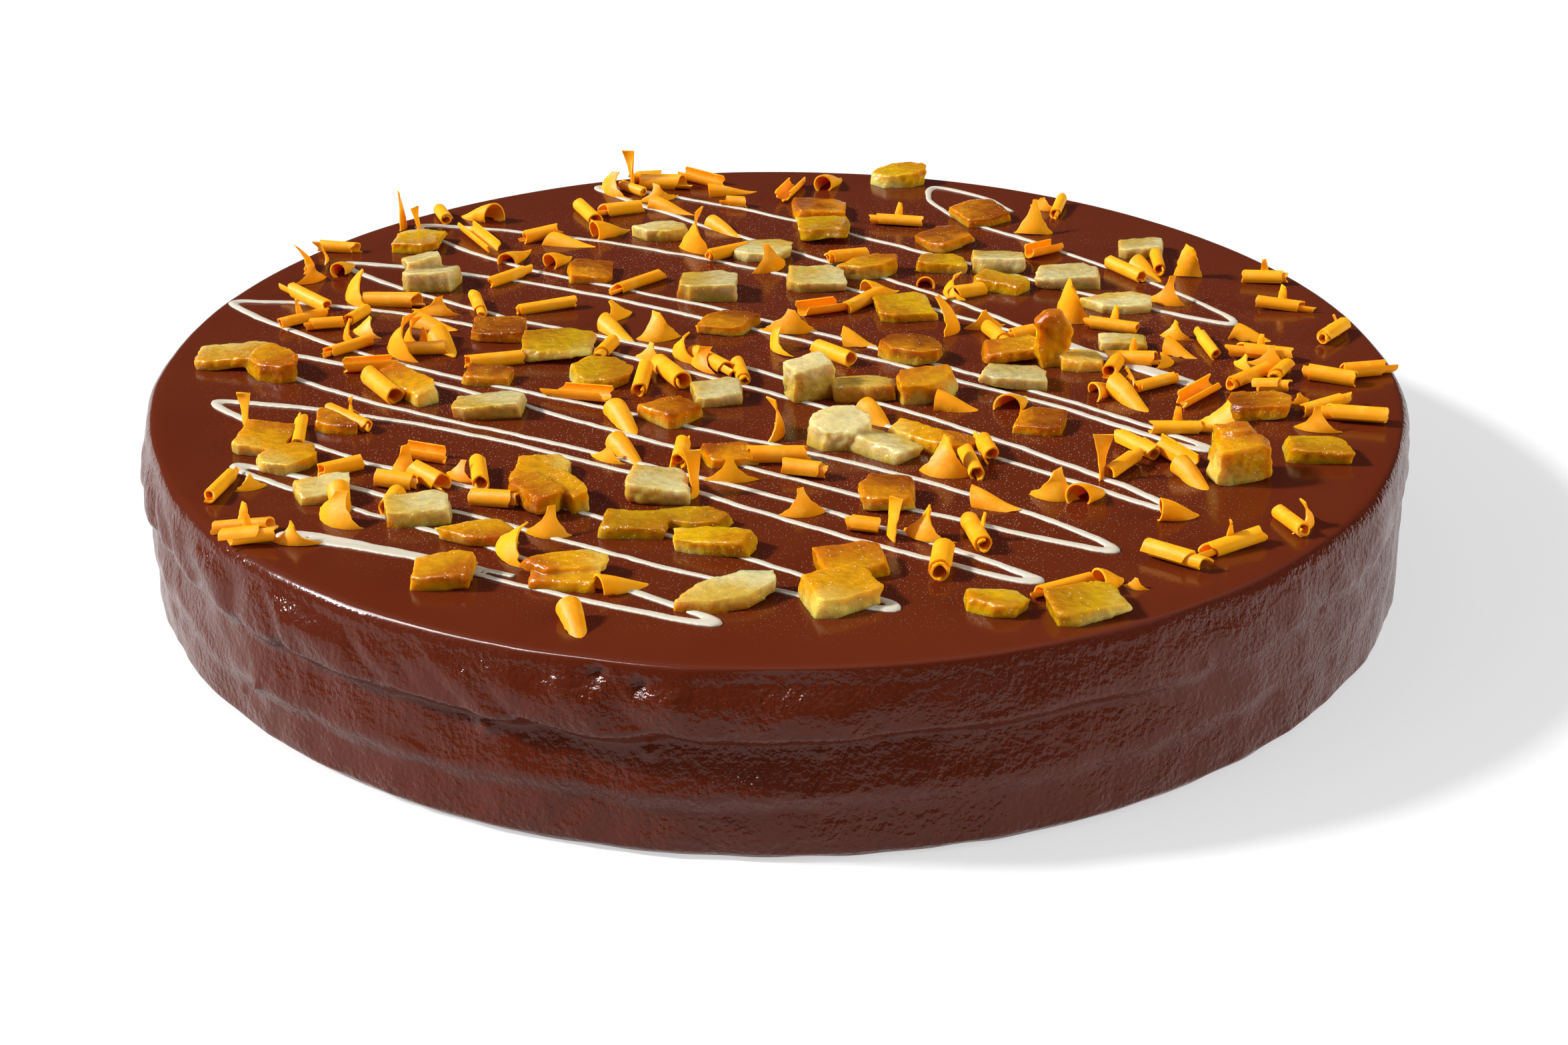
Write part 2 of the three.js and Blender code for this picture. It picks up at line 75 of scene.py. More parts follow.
CAKE_RADIUS = 130.0
CAKE_HEIGHT = 36.0

# White chocolate zigzag, in millimetres from the middle of the top. Each row is one stroke, and runs on to
# the next row's first point, where the line turns back.
DRIZZLE_STROKES = (
    ((57.5, 96.5), (51, 107)),
    ((39, 114), (38.5, 102), (66.5, 68.5), (95, 34)),
    ((99.5, 23), (84, 31), (36, 66.5), (-18.5, 104)),
    ((-45, 115), (-20, 89), (33, 43), (63, 11)),
    ((86, -11), (52, 18.3), (-8, 58.7), (-56, 80.5)),
    ((-86, 86), (-72, 68.5), (-12, 31.2), (38.3, -3.3), (74, -32)),
    ((84, -43), (53.3, -19.5), (-17.5, 27.2), (-60.3, 49.7)),
    ((-100, 60.5), (-82, 42.6), (-2.5, -4.3), (41.7, -36.7)),
    ((73.5, -69), (45.5, -48.7), (-6, -11.6), (-67.5, 22.9), (-103, 35)),
    ((-121, 36), (-95, 11.4), (-15, -32.5), (36.7, -62.7)),
    ((60.5, -85.5), (32.5, -72.6), (-21, -40.4), (-73.3, -8)),
    ((-117, 10), (-94.5, -10.6), (-34, -44.5), (5.8, -67.2)),
    ((46, -97.5), (20.8, -85), (-34.2, -49.2), (-78.3, -27.5)),
    ((-114, -19), (-86.7, -42.8), (-36, -70), (5.5, -95.5)),
    ((20, -107), (-11.2, -95.8), (-57, -70.7)),
    ((-104, -49.5), (-83.7, -64.5), (-47, -87)),
    ((-10.5, -112), (-43.5, -99), (-64, -88)),
    ((-90, -78.5), (-72, -83.3)),
    ((-46, -95),),
)

# Orange curls, each as x, y, turn in degrees and length
ROLLS = (
    (-81, 91, 110, 9), (-103, 69, -5, 9), (-104.5, 36.5, -42, 14), (-85.5, 34.5, -8, 13), (-66, 32, -75, 10),
    (-51, 31.5, 18, 14), (-92, 26, 70, 9), (-98, 20.5, 15, 8), (-91, 8, 38, 11), (-59, 0, 20, 13),
    (-80.5, -14, -55, 13), (-93.8, -36, -85, 11), (-83, -52.5, 32, 9), (-104.5, -60, 80, 12),
    (-72, -58.5, -10, 8), (-66, -57, -40, 8), (-56.5, -55, -80, 10), (-71.5, -66.5, 80, 6),
    (-52.5, -66.5, -15, 9), (-18.5, -46, 85, 8), (0, -47.5, 5, 12), (5, -54, -12, 8), (15.5, -77.5, -10, 6),
    (29, -92, 82, 10), (37, -51, -80, 10), (40.5, -44, -80, 8), (66, -52, 50, 9), (69.5, -43.5, -55, 11),
    (70, -90, -35, 10), (93.5, -76, -70, 10), (49.5, -100.5, 27, 11), (42.5, 40, 28, 8), (19, 34, 45, 11),
    (12, 4, -50, 12), (47, 14, -70, 9), (52.5, 14, 20, 6), (119.5, 15, 52, 11), (122, -5.5, 18, 11),
    (114, -9, -18, 10.5), (91.5, 9, -80, 11), (70, -3, 70, 9), (77.5, -12, 30, 10.5), (97, -9.5, 42, 13),
    (104, -7, 60, 8), (101, -14, -10, 6), (110, -23.5, 25, 10), (115, -29, -12, 13), (68.5, 97, 75, 11),
    (79.5, 53, -55, 12), (87.5, 58, 88, 11), (-33, 119, 10, 7), (-28.5, 115, -8, 11), (-36, 111, -40, 8),
    (-46, 93, -65, 12), (-38.5, 95, 25, 10), (-10.5, 101, -10, 5), (-56, 77, 25, 9), (-61, 50, 45, 11),
    (-31.5, 46, 43, 14), (-11.5, 65.5, 40, 13), (16, 61.5, 25, 10), (-36.5, 6, 75, 9), (-13.5, -1, -55, 13),
    (-7.5, -6, -80, 10), (-28, -10, 85, 12), (-22, -7, -65, 14),
)
HORNED_ROLLS = (
    (-103.5, 24, 40, 11), (-75, 6.5, 3, 9), (-85, -29.5, -42, 13), (-97, -77, 0, 11), (-95, -82, 5, 8),
    (36, -81, -80, 12), (81, -85, 28, 12.5), (72.5, 19.5, -18, 11.5), (111.5, 31.5, -10, 11),
    (110.5, 48, -10, 10), (101.5, 3, -5, 11.5), (74.5, 1, -12, 11), (79, -34.5, 0, 11), (29, 87, -8, 12),
)
CORNETS = (
    (-73, 92, 150, 11), (-99, 58, 80, 12), (-74, 21.5, -30, 11), (-70.5, 9, -65, 11), (-80.5, -68, -75, 9),
    (-25.5, -99, 20, 12), (-34, -114, -70, 9), (-28.5, -45.5, -60, 11), (40.5, -67, -30, 10),
    (59, -62.5, 50, 10), (79, -57.5, -60, 10), (74.5, -71.5, 10, 9), (58.5, -97.5, 40, 8), (24, 42, 20, 8),
    (33.5, 48, 90, 7), (17.5, 12, -25, 8), (85.5, 6, -40, 8), (103, 14, -20, 9), (67.5, -13, 50, 10),
    (72, -20, -60, 13), (48.5, -19.5, 60, 9), (37, -22.5, -15, 10), (85, 52, -60, 11), (14, 118, 65, 12),
    (-11, 110.5, 8, 12), (-25, 97, -30, 12), (-39, 81, 40, 11), (-48, 73, -20, 11), (-60, 65.5, 65, 12),
    (-50, 62, 60, 9), (-12, 82, -50, 11), (-34, 17, -55, 13), (-30, -31, -65, 11), (20, -29, -50, 7),
)
TROUGHS = (
    (-85, -2.5, 5, 11), (-68, -46.5, -15, 9), (76, -46.5, -60, 13), (10, 30, 20, 11), (85.5, -17.5, 45, 12),
    (62, 66.5, 40, 10), (3.5, 110, 75, 15), (-19, 118, -28, 13), (-70.5, 75, -58, 16), (-40, -17.5, -20, 13),
)
# Standing flakes, each as x, y, turn in degrees, width and height
SAILS = (
    (-89, 85, 80, 5, 9.5), (-85.3, 84, 100, 4, 6), (-106.5, 58, 95, 8, 6), (-104, 63, 100, 5, 5),
    (-105, 49, 45, 9, 4), (-96, 37, -65, 13, 7), (-82, 6, -60, 15, 9), (-75, 28.5, -10, 11, 4),
    (-80, 13, -70, 9, 6), (-93, 14, -60, 6, 5), (-89.5, 16, -35, 8, 4), (-106.3, -29.5, -70, 4, 7),
    (-99, -60, 20, 6, 2.5), (-71, -54.5, -15, 7, 6), (-61, -56, -35, 8, 3.5), (-82, -75, -40, 13, 6),
    (-87, -83, -10, 10, 4), (-41.5, -80.5, -5, 10, 5.5), (-49.5, -88, -60, 12, 6), (-33, -47.5, -30, 8, 3),
    (-14.7, -62, 80, 5, 9), (-9, -57, 0, 11, 5), (5, -72, 10, 10, 5), (19.7, -80, -80, 5, 8),
    (25.5, -82, -35, 12, 6), (31.5, -55.5, -12, 11.5, 7.5), (51.5, -65.5, -10, 10.5, 5.5),
    (62, -55, 80, 4, 9), (97.5, -76, 60, 9, 5), (62, -100, -20, 5, 2), (37.5, 40, -70, 10, 5),
    (3, 17, 5, 13, 5), (-1, 9, -75, 12, 5), (39.5, 19, 70, 9, 8), (45, 20, 10, 9, 4),
    (63.5, 23.5, -28, 9, 9.5), (86, 34, -25, 9, 6), (122, 19, 95, 7, 4), (85, 14, -25, 8, 4),
    (82, -1, 40, 6, 3), (74, -9, 100, 6, 4), (103, -1, -10, 10, 4), (97, -2, -55, 7, 3),
    (87, -33, -35, 10, 5), (106, -20, 25, 6, 2),
    (106, -34.5, -20, 9.5, 5), (61, 79.5, -5, 9, 8), (64.5, 98, -35, 8, 3), (93.5, 51, -10, 7, 7.5),
    (-43, 111, -65, 14, 5), (-35.7, 115, 95, 4, 10), (-29, 104, 15, 11, 4), (-20, 68, -35, 10, 10),
    (-0.5, 55, 35, 11, 6), (-34, 26, 45, 9, 4), (-25, 13, 10, 10, 6), (-21, 4, -60, 11, 5),
    (-27, 2, -30, 9, 4), (-17, -2, -55, 10, 5), (1.5, -35, 80, 10, 8),
)


def linear(hex_colour: str) -> tuple[float, float, float, float]:
    """Turns an sRGB hex value into a linear colour.

    Args:
        hex_colour: A value such as "#6b3220".

    Returns:
        Linear red, green and blue, with an alpha of 1.
    """
    channels = [int(hex_colour[i : i + 2], 16) / 255 for i in (1, 3, 5)]
    red, green, blue = [c / 12.92 if c <= 0.04045 else ((c + 0.055) / 1.055) ** 2.4 for c in channels]
    return red, green, blue, 1.0


def per_mm(size: float) -> float:
    """Returns the scale of a texture whose features are this many millimetres apart."""
    return 1 / (size * MM)


def bump_noise(point: Sequence[float], size: float) -> float:
    """Returns smooth noise from about -1 to 1, whose bumps are this many millimetres apart."""
    return noise.noise(Vector(point) / size)


def layered_noise(point: Sequence[float], layers: Layers) -> float:
    """Returns the sum of some layers of smooth noise at a point."""
    return sum(strength * bump_noise(point, size) for strength, size in layers)


def smooth_step(low: float, high: float, value: float) -> float:
    """Returns 0 below low, 1 above high, and an even passage between them."""
    share = min(1.0, max(0.0, (value - low) / (high - low)))
    return share * share * (3 - 2 * share)


def plug(node: bpy.types.Node, sockets: dict[str | int, object]) -> None:
    """Gives a node's inputs their values and links.

    Args:
        node: The node.
        sockets: An input's name or number, and the value or the output socket that it gets.
    """
    for name, value in sockets.items():
        if isinstance(value, bpy.types.NodeSocket):
            node.id_data.links.new(value, node.inputs[name])
        else:
            node.inputs[name].default_value = value


def add_node(
    tree: bpy.types.NodeTree,
    kind: str,
    sockets: dict[str | int, object],
    out: str | int = 0,
    **settings: object,
) -> bpy.types.NodeSocket:
    """Adds one shader node with its settings, values and links.

    Args:
        tree: The node tree.
        kind: The node's class without its first part, such as "TexNoise".
        sockets: What its inputs get.
        out: The output that is wanted, by name or number.
        settings: Properties of the node itself.

    Returns:
        That output.
    """
    node = tree.nodes.new("ShaderNode" + kind)
    for name, value in settings.items():
        setattr(node, name, value)
    plug(node, sockets)
    return node.outputs[out]


def dotted(
    tree: bpy.types.NodeTree, place: bpy.types.NodeSocket, spacing: float, size: float, share: float
) -> bpy.types.NodeSocket:
    """Scatters dots: a dot in some cells of an even scatter.

    Args:
        tree: The material's node tree.
        place: The place on the surface.
        spacing: How far apart the cells are, in millimetres.
        size: The radius of a dot, in millimetres.
        share: The share of the cells that have a dot.

    Returns:
        1 in a dot, and 0 between them.
    """
    cells = add_node(tree, "TexVoronoi", {"Vector": place, "Scale": per_mm(spacing)})
    edge = size / spacing
    dot = add_node(tree, "MapRange", {"Value": cells, "From Min": edge, "From Max": edge / 2})
    chosen = add_node(tree, "Math", {0: cells.node.outputs["Color"], 1: share}, operation="LESS_THAN")
    return add_node(tree, "Math", {0: dot, 1: chosen}, operation="MULTIPLY")


def bumped(
    tree: bpy.types.NodeTree,
    place: bpy.types.NodeSocket,
    layers: Sequence[tuple[float, float, float]],
    strength: bpy.types.NodeSocket | float = 1.0,
) -> bpy.types.NodeSocket:
    """Roughens a surface with layers of bumps.

    Args:
        tree: The material's node tree.
        place: The place on the surface.
        layers: Each layer's size and depth in millimetres, and its detail, the coarsest first.
        strength: How strong they are.

    Returns:
        The bumpy normal.
    """
    above = {}
    for size, depth, detail in layers:
        height = add_node(tree, "TexNoise", {"Vector": place, "Scale": per_mm(size), "Detail": detail})
        bumps = {"Strength": strength, "Distance": depth * MM, "Height": height, **above}
        above = {"Normal": add_node(tree, "Bump", bumps)}
    return above["Normal"]


def new_material(
    name: str,
) -> tuple[bpy.types.Material, bpy.types.NodeTree, bpy.types.Node, bpy.types.NodeSocket]:
    """Starts a material.

    Args:
        name: What the real material is called.

    Returns:
        The material, its node tree, its Principled shader and the place on the surface.
    """
    material = bpy.data.materials.new(name)
    material.use_nodes = True
    tree = material.node_tree
    place = add_node(tree, "TexCoord", {}, "Object")
    return material, tree, tree.nodes["Principled BSDF"], place


def object_of(name: str, bm: bmesh.types.BMesh) -> bpy.types.Object:
    """Puts a finished bmesh in the scene as an object, and frees it.

    Args:
        name: The object's name.
        bm: The shape, which is freed.

    Returns:
        The new object, at the origin.
    """
    mesh = bpy.data.meshes.new(name)
    bm.to_mesh(mesh)
    bm.free()
    made = bpy.data.objects.new(name, mesh)
    bpy.context.scene.collection.objects.link(made)
    return made


def remeshed(source: bpy.types.Object, voxel: float) -> bmesh.types.BMesh:
    """Rebuilds an object's surface from even small faces, with crossing parts fused.

    Args:
        source: The object, which is removed.
        voxel: The size of a face, in the object's own unit.

    Returns:
        The new surface.
    """
    remesh = source.modifiers.new("even_faces", "REMESH")
    remesh.mode = "VOXEL"
    remesh.voxel_size = voxel
    evaluated = source.evaluated_get(bpy.context.evaluated_depsgraph_get())
    bm = bmesh.new()
    bm.from_mesh(evaluated.data)
    bpy.data.meshes.remove(source.data)
    return bm


def softened(bm: bmesh.types.BMesh, rounds: int) -> None:
    """Rounds a surface's edges.

    Args:
        bm: The surface, which is changed.
        rounds: How often each point moves half-way towards its neighbours.
    """
    axes = {"use_axis_x": True, "use_axis_y": True, "use_axis_z": True}
    for _ in range(rounds):
        bmesh.ops.smooth_vert(bm, verts=bm.verts, factor=0.5, **axes)


def hand_over(
    name: str,
    bm: bmesh.types.BMesh,
    material: bpy.types.Material,
    slot: str | None,
    sharp_degrees: float = 180.0,
) -> bpy.types.Object:
    """Makes a piece of the cake from a shape in millimetres.

    Args:
        name: The piece's name.
        bm: The shape, which is freed.
        material: Its finish.
        slot: The record's material slot that matches the piece, if it has one; not used.
        sharp_degrees: Edges sharper than this stay crisp.

    Returns:
        The piece, in metres, riding on the cake.
    """
    bmesh.ops.scale(bm, vec=(MM, MM, MM), verts=bm.verts)
    for face in bm.faces:
        face.smooth = True
    piece = object_of(name, bm)
    if sharp_degrees < 180.0:
        piece.data.set_sharp_from_angle(angle=math.radians(sharp_degrees))
    piece.data.materials.append(material)
    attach(piece, ROOT_BODY)
    LOG.info("%s: %d faces", name, len(piece.data.polygons))
    return piece


@dataclass(frozen=True)
class ChocolateGlaze:
    """Poured dark chocolate glaze: set mirror-smooth on top, and pitted where it ran down the side."""

    brown: str = "#591e09"
    warm_brown: str = "#5f250e"
    # Darker than the top's brown: painted shade on the side
    side_brown: str = "#4f1b0a"
    speck: str = "#c0a08f"
    ior: float = 1.46
    shine: float = 0.28
    top_roughness: float = 0.16
    side_roughness: float = 0.17
    cloud_size: float = 22.0
    patch_size: float = 13.0
    pit_size: float = 1.1
    pit_depth: float = 0.75
    ripple_size: float = 4.0
    ripple_depth: float = 0.65
    speck_spacing: float = 0.55
    speck_size: float = 0.115
    speck_share: float = 0.65
    speck_drift: tuple[float, float] = (0.3, 0.55)
    speck_fade: tuple[float, float] = (98.0, 126.0)
    grain_side: tuple[float, float] = (0.6, 1.3)
    grain_least: float = 0.05
    patch_edge: tuple[float, float] = (0.38, 0.65)
    patch_least: float = 0.4

    def material(self) -> bpy.types.Material:
        """Builds the glaze: clouded browns, a rougher pitted side darkened as painted shade, and pale specks
        on top.

        Returns:
            The material, which reads the attribute "side": 0 on top, and from 1 to 2 on the grainy side.
        """
        material, tree, shader, place = new_material("poured_chocolate_glaze")
        side = add_node(tree, "Attribute", {}, "Fac", attribute_name="side")

        # Slow clouds of warmer brown, as cocoa butter sets unevenly
        clouds = add_node(
            tree, "TexNoise", {"Vector": place, "Scale": per_mm(self.cloud_size), "Detail": 3.0}
        )
        browns = {MIX_FACTOR: clouds, MIX_A: linear(self.brown), MIX_B: linear(self.warm_brown)}
        top = add_node(tree, "Mix", browns, **COLOUR_MIX)
        # Painted shade: the side takes a darker brown than the top, standing in for the light it lacks
        sides = {MIX_FACTOR: side, MIX_A: top, MIX_B: linear(self.side_brown)}
        ground = add_node(tree, "Mix", sides, **COLOUR_MIX)

        # Pale specks in drifts, drawn a little large so that they show, and none near the rim
        specks = dotted(tree, place, self.speck_spacing, self.speck_size, self.speck_share)
        drifts = add_node(
            tree, "TexNoise", {"Vector": place, "Scale": per_mm(2 * self.cloud_size), "Detail": 1.0}
        )
        thin, thick = self.speck_drift
        dense = add_node(tree, "MapRange", {"Value": drifts, "From Min": thin, "From Max": thick})
        reach = add_node(tree, "VectorMath", {0: place}, "Value", operation="LENGTH")
        fade_from, fade_to = (end * MM for end in self.speck_fade)
        inner = add_node(
            tree,
            "MapRange",
            {"Value": reach, "From Min": fade_from, "From Max": fade_to, "To Min": 1.0, "To Max": 0.0},
        )
        for kept in (dense, inner):
            specks = add_node(tree, "Math", {0: specks, 1: kept}, operation="MULTIPLY")
        whitened = {MIX_FACTOR: specks, MIX_A: ground, MIX_B: linear(self.speck)}
        specked = add_node(tree, "Mix", whitened, **COLOUR_MIX)

        # The top set level, and the side kept the ripples and pits of the run, in patches
        roughness = add_node(
            tree, "MapRange", {"Value": side, "To Min": self.top_roughness, "To Max": self.side_roughness}
        )
        start, full = self.grain_side
        run = add_node(
            tree,
            "MapRange",
            {"Value": side, "From Min": start, "From Max": full, "To Min": self.grain_least, "To Max": 1.0},
        )
        calm = add_node(
            tree, "TexNoise", {"Vector": place, "Scale": per_mm(self.patch_size), "Detail": 2.0}
        )
        start, full = self.patch_edge
        grainy = add_node(
            tree,
            "MapRange",
            {"Value": calm, "From Min": start, "From Max": full, "To Min": self.patch_least, "To Max": 1.0},
        )
        strength = add_node(tree, "Math", {0: run, 1: grainy}, operation="MULTIPLY")
        layers = ((self.ripple_size, self.ripple_depth, 2.0), (self.pit_size, self.pit_depth, 2.0))
        plug(
            shader,
            {
                "Base Color": specked,
                "Roughness": roughness,
                "Normal": bumped(tree, place, layers, strength),
                "IOR": self.ior,
                "Specular IOR Level": self.shine,
            },
        )
        return material


@dataclass(frozen=True)
class WhiteChocolate:
    """Piped white chocolate: cream coloured, soft-edged and barely shiny once set."""

    cream: str = "#cac3b3"
    shade: str = "#c0b6a1"
    ior: float = 1.46
    roughness: float = 0.42
    cloud_size: float = 5.0
    skin_size: float = 0.9
    skin_depth: float = 0.05
    light_share: float = 0.3
    light_depth: float = 0.6

    def material(self) -> bpy.types.Material:
        """Builds the finish of the zigzag.

        Returns:
            The material.
        """
        material, tree, shader, place = new_material("piped_white_chocolate")
        clouds = add_node(
            tree, "TexNoise", {"Vector": place, "Scale": per_mm(self.cloud_size), "Detail": 2.0}
        )
        creams = {MIX_FACTOR: clouds, MIX_A: linear(self.cream), MIX_B: linear(self.shade)}
        plug(
            shader,
            {
                "Base Color": add_node(tree, "Mix", creams, **COLOUR_MIX),
                "Normal": bumped(tree, place, ((self.skin_size, self.skin_depth, 2.0),)),
                "Roughness": self.roughness,
                "IOR": self.ior,
                "Subsurface Weight": self.light_share,
                "Subsurface Scale": self.light_depth * MM,
            },
        )
        return material


@dataclass(frozen=True)
class OrangeChocolate:
    """Shaved orange-coloured chocolate: bright, waxy and matt, and a little paler where the blade cut it."""

    orange: str = "#ffa910"
    deep_orange: str = "#f69706"
    pale_orange: str = "#ffb63a"
    ior: float = 1.46
    roughness: float = 0.45
    shine: float = 0.18
    cloud_size: float = 3.0
    pale_from: float = 0.5
    pale_full: float = 0.85
    grain_size: float = 0.7
    grain_depth: float = 0.06
    light_share: float = 0.45
    light_depth: float = 0.8
    light_reach: tuple[float, float, float] = (1.0, 0.5, 0.1)

    def material(self) -> bpy.types.Material:
        """Builds the finish of the curls.

        Returns:
            The material, which reads the attribute "tint", different from curl to curl.
        """
        material, tree, shader, place = new_material("shaved_orange_chocolate")
        tint = add_node(tree, "Attribute", {}, "Fac", attribute_name="tint")
        oranges = {MIX_FACTOR: tint, MIX_A: linear(self.orange), MIX_B: linear(self.deep_orange)}
        own = add_node(tree, "Mix", oranges, **COLOUR_MIX)
        clouds = add_node(
            tree, "TexNoise", {"Vector": place, "Scale": per_mm(self.cloud_size), "Detail": 3.0}
        )
        worn = add_node(
            tree, "MapRange", {"Value": clouds, "From Min": self.pale_from, "From Max": self.pale_full}
        )
        cut = {MIX_FACTOR: worn, MIX_A: own, MIX_B: linear(self.pale_orange)}
        plug(
            shader,
            {
                "Base Color": add_node(tree, "Mix", cut, **COLOUR_MIX),
                "Normal": bumped(tree, place, ((self.grain_size, self.grain_depth, 3.0),)),
                "Roughness": self.roughness,
                "IOR": self.ior,
                "Specular IOR Level": self.shine,
                "Subsurface Weight": self.light_share,
                "Subsurface Scale": self.light_depth * MM,
                "Subsurface Radius": self.light_reach,
            },
        )
        return material


@dataclass(frozen=True)
class CandiedRind:
    """Candied orange peel: syrup-soaked, so light goes into it, with a wet skin, sugar frost and painted
    glints.
    """

    name: str
    rind: str
    flesh: str
    pith: str
    # How far the skin faces up; with the skin on top, the paler sides are also painted glow
    skin_up: float
    # One white for the sugar frost and for the dots of painted glint
    frost: str = "#efe7cd"
    frost_from: float = 0.66
    frost_blend: float = 0.16
    ior: float = 1.48
    roughness: float = 0.1
    shine: float = 0.3
    # The dots of painted glint: how far apart, how large and how many
    grain_spacing: float = 0.8
    grain_size: float = 0.14
    grain_share: float = 0.35
    vein_size: float = 6.0
    vein_share: float = 0.6
    vein_bend: float = 0.6
    flesh_border: tuple[float, float] = (0.35, 0.8)
    rind_border: tuple[float, float] = (0.85, 1.25)
    shades: tuple[float, float] = (0.85, 1.12)
    mottle_size: float = 1.5
    mottle_edge: tuple[float, float] = (0.3, 0.7)
    crust_roughness: float = 0.7
    crystal_size: float = 0.5
    crystal_depth: float = 0.16
    wrinkle_size: float = 1.5
    wrinkle_depth: float = 0.4
    light_share: float = 1.0
    light_depth: float = 4.5
    light_reach: tuple[float, float, float] = (1.0, 0.6, 0.12)

    def material(self) -> bpy.types.Material:
        """Builds the finish of one colour of peel.

        Returns:
            The material, which reads the attributes "rind", from the pith to the outer skin, and "tint".
        """
        material, tree, shader, place = new_material(self.name)
        across = add_node(tree, "Attribute", {}, "Fac", attribute_name="rind")
        tint = add_node(tree, "Attribute", {}, "Fac", attribute_name="tint")

        # From the pale pith through the soaked flesh to the outer skin, along wandering borders, and painted
        # glow:
        # where the skin lies on top, the paler sides stand in for light that shines out through them
        veins = add_node(
            tree,
            "TexNoise",
            {"Vector": place, "Scale": per_mm(self.vein_size), "Detail": 4.0, "Distortion": self.vein_bend},
        )
        wander = add_node(
            tree, "Math", {0: veins, 1: self.vein_share, 2: across}, operation="MULTIPLY_ADD"
        )
        colour = linear(self.pith)
        for layer, (start, end) in ((self.flesh, self.flesh_border), (self.rind, self.rind_border)):
            share = add_node(
                tree,
                "MapRange",
                {"Value": wander, "From Min": start, "From Max": end},
                interpolation_type="SMOOTHSTEP",
            )
            blend = {MIX_FACTOR: share, MIX_A: colour, MIX_B: linear(layer)}
            colour = add_node(tree, "Mix", blend, **COLOUR_MIX)

        # Each piece has a shade of its own, and lighter and darker patches in it
        mottle = add_node(
            tree, "TexNoise", {"Vector": place, "Scale": per_mm(self.mottle_size), "Detail": 3.0}
        )
        shades = dict(zip(("To Min", "To Max"), self.shades))
        darker = add_node(tree, "MapRange", {"Value": tint, **shades})
        start, end = self.mottle_edge
        patchy = add_node(
            tree, "MapRange", {"Value": mottle, "From Min": start, "From Max": end, **shades}
        )
        value = add_node(tree, "Math", {0: darker, 1: patchy}, operation="MULTIPLY")
        own = add_node(tree, "HueSaturation", {"Color": colour, "Value": value})

        # Sugar that set as frost in places, and painted glints: single white dots that stand in for sparkles
        # of light
        crust = add_node(
            tree,
            "TexNoise",
            {
                "Vector": place,
                "Scale": per_mm(2 * self.crystal_size),
                "Detail": 5.0,
                "Roughness": self.crust_roughness,
            },
        )
        frost_full = self.frost_from + self.frost_blend
        frosted = add_node(
            tree, "MapRange", {"Value": crust, "From Min": self.frost_from, "From Max": frost_full}
        )
        painted_glints = dotted(tree, place, self.grain_spacing, self.grain_size, self.grain_share)
        whitened = add_node(tree, "Math", {0: painted_glints, 1: frosted}, operation="MAXIMUM")
        frost_and_glints = {MIX_FACTOR: whitened, MIX_A: own, MIX_B: linear(self.frost)}
        layers = (
            (self.wrinkle_size, self.wrinkle_depth, 2.0),
            (self.crystal_size, self.crystal_depth, 3.0),
        )
        plug(
            shader,
            {
                "Base Color": add_node(tree, "Mix", frost_and_glints, **COLOUR_MIX),
                "Normal": bumped(tree, place, layers),
                "Roughness": self.roughness,
                "IOR": self.ior,
                "Specular IOR Level": self.shine,
                "Subsurface Weight": self.light_share,
                "Subsurface Scale": self.light_depth * MM,
                "Subsurface Radius": self.light_reach,
            },
        )
        return material


@dataclass(frozen=True)
class PaperSweep:
    """Matt white paper on a lit table: a faint tooth, no shine, and a glow that keeps shadows pale."""

    white: str = "#aaaaa9"
    shade: str = "#a7a7a7"
    light: str = "#ffffff"
    glow: float = 0.54
    tooth_size: float = 0.8
    roughness: float = 0.9
    shine: float = 0.1

    def material(self) -> bpy.types.Material:
        """Builds the floor's finish.

        Returns:
            The material.
        """
        material, tree, shader, place = new_material("white_studio_paper")
        tooth = add_node(tree, "TexNoise", {"Vector": place, "Scale": per_mm(self.tooth_size)})
        whites = {MIX_FACTOR: tooth, MIX_A: linear(self.white), MIX_B: linear(self.shade)}
        plug(
            shader,
            {
                "Base Color": add_node(tree, "Mix", whites, **COLOUR_MIX),
                "Roughness": self.roughness,
                "Specular IOR Level": self.shine,
                "Emission Color": linear(self.light),
                "Emission Strength": self.glow,
            },
        )
        return material


@dataclass(frozen=True)
class Seam:
    """A line round the side where the glaze laps over the layer below: a lip, and a hollow under it."""

    height: float
    lip: float
    depth: float
    run: float
    wander: float


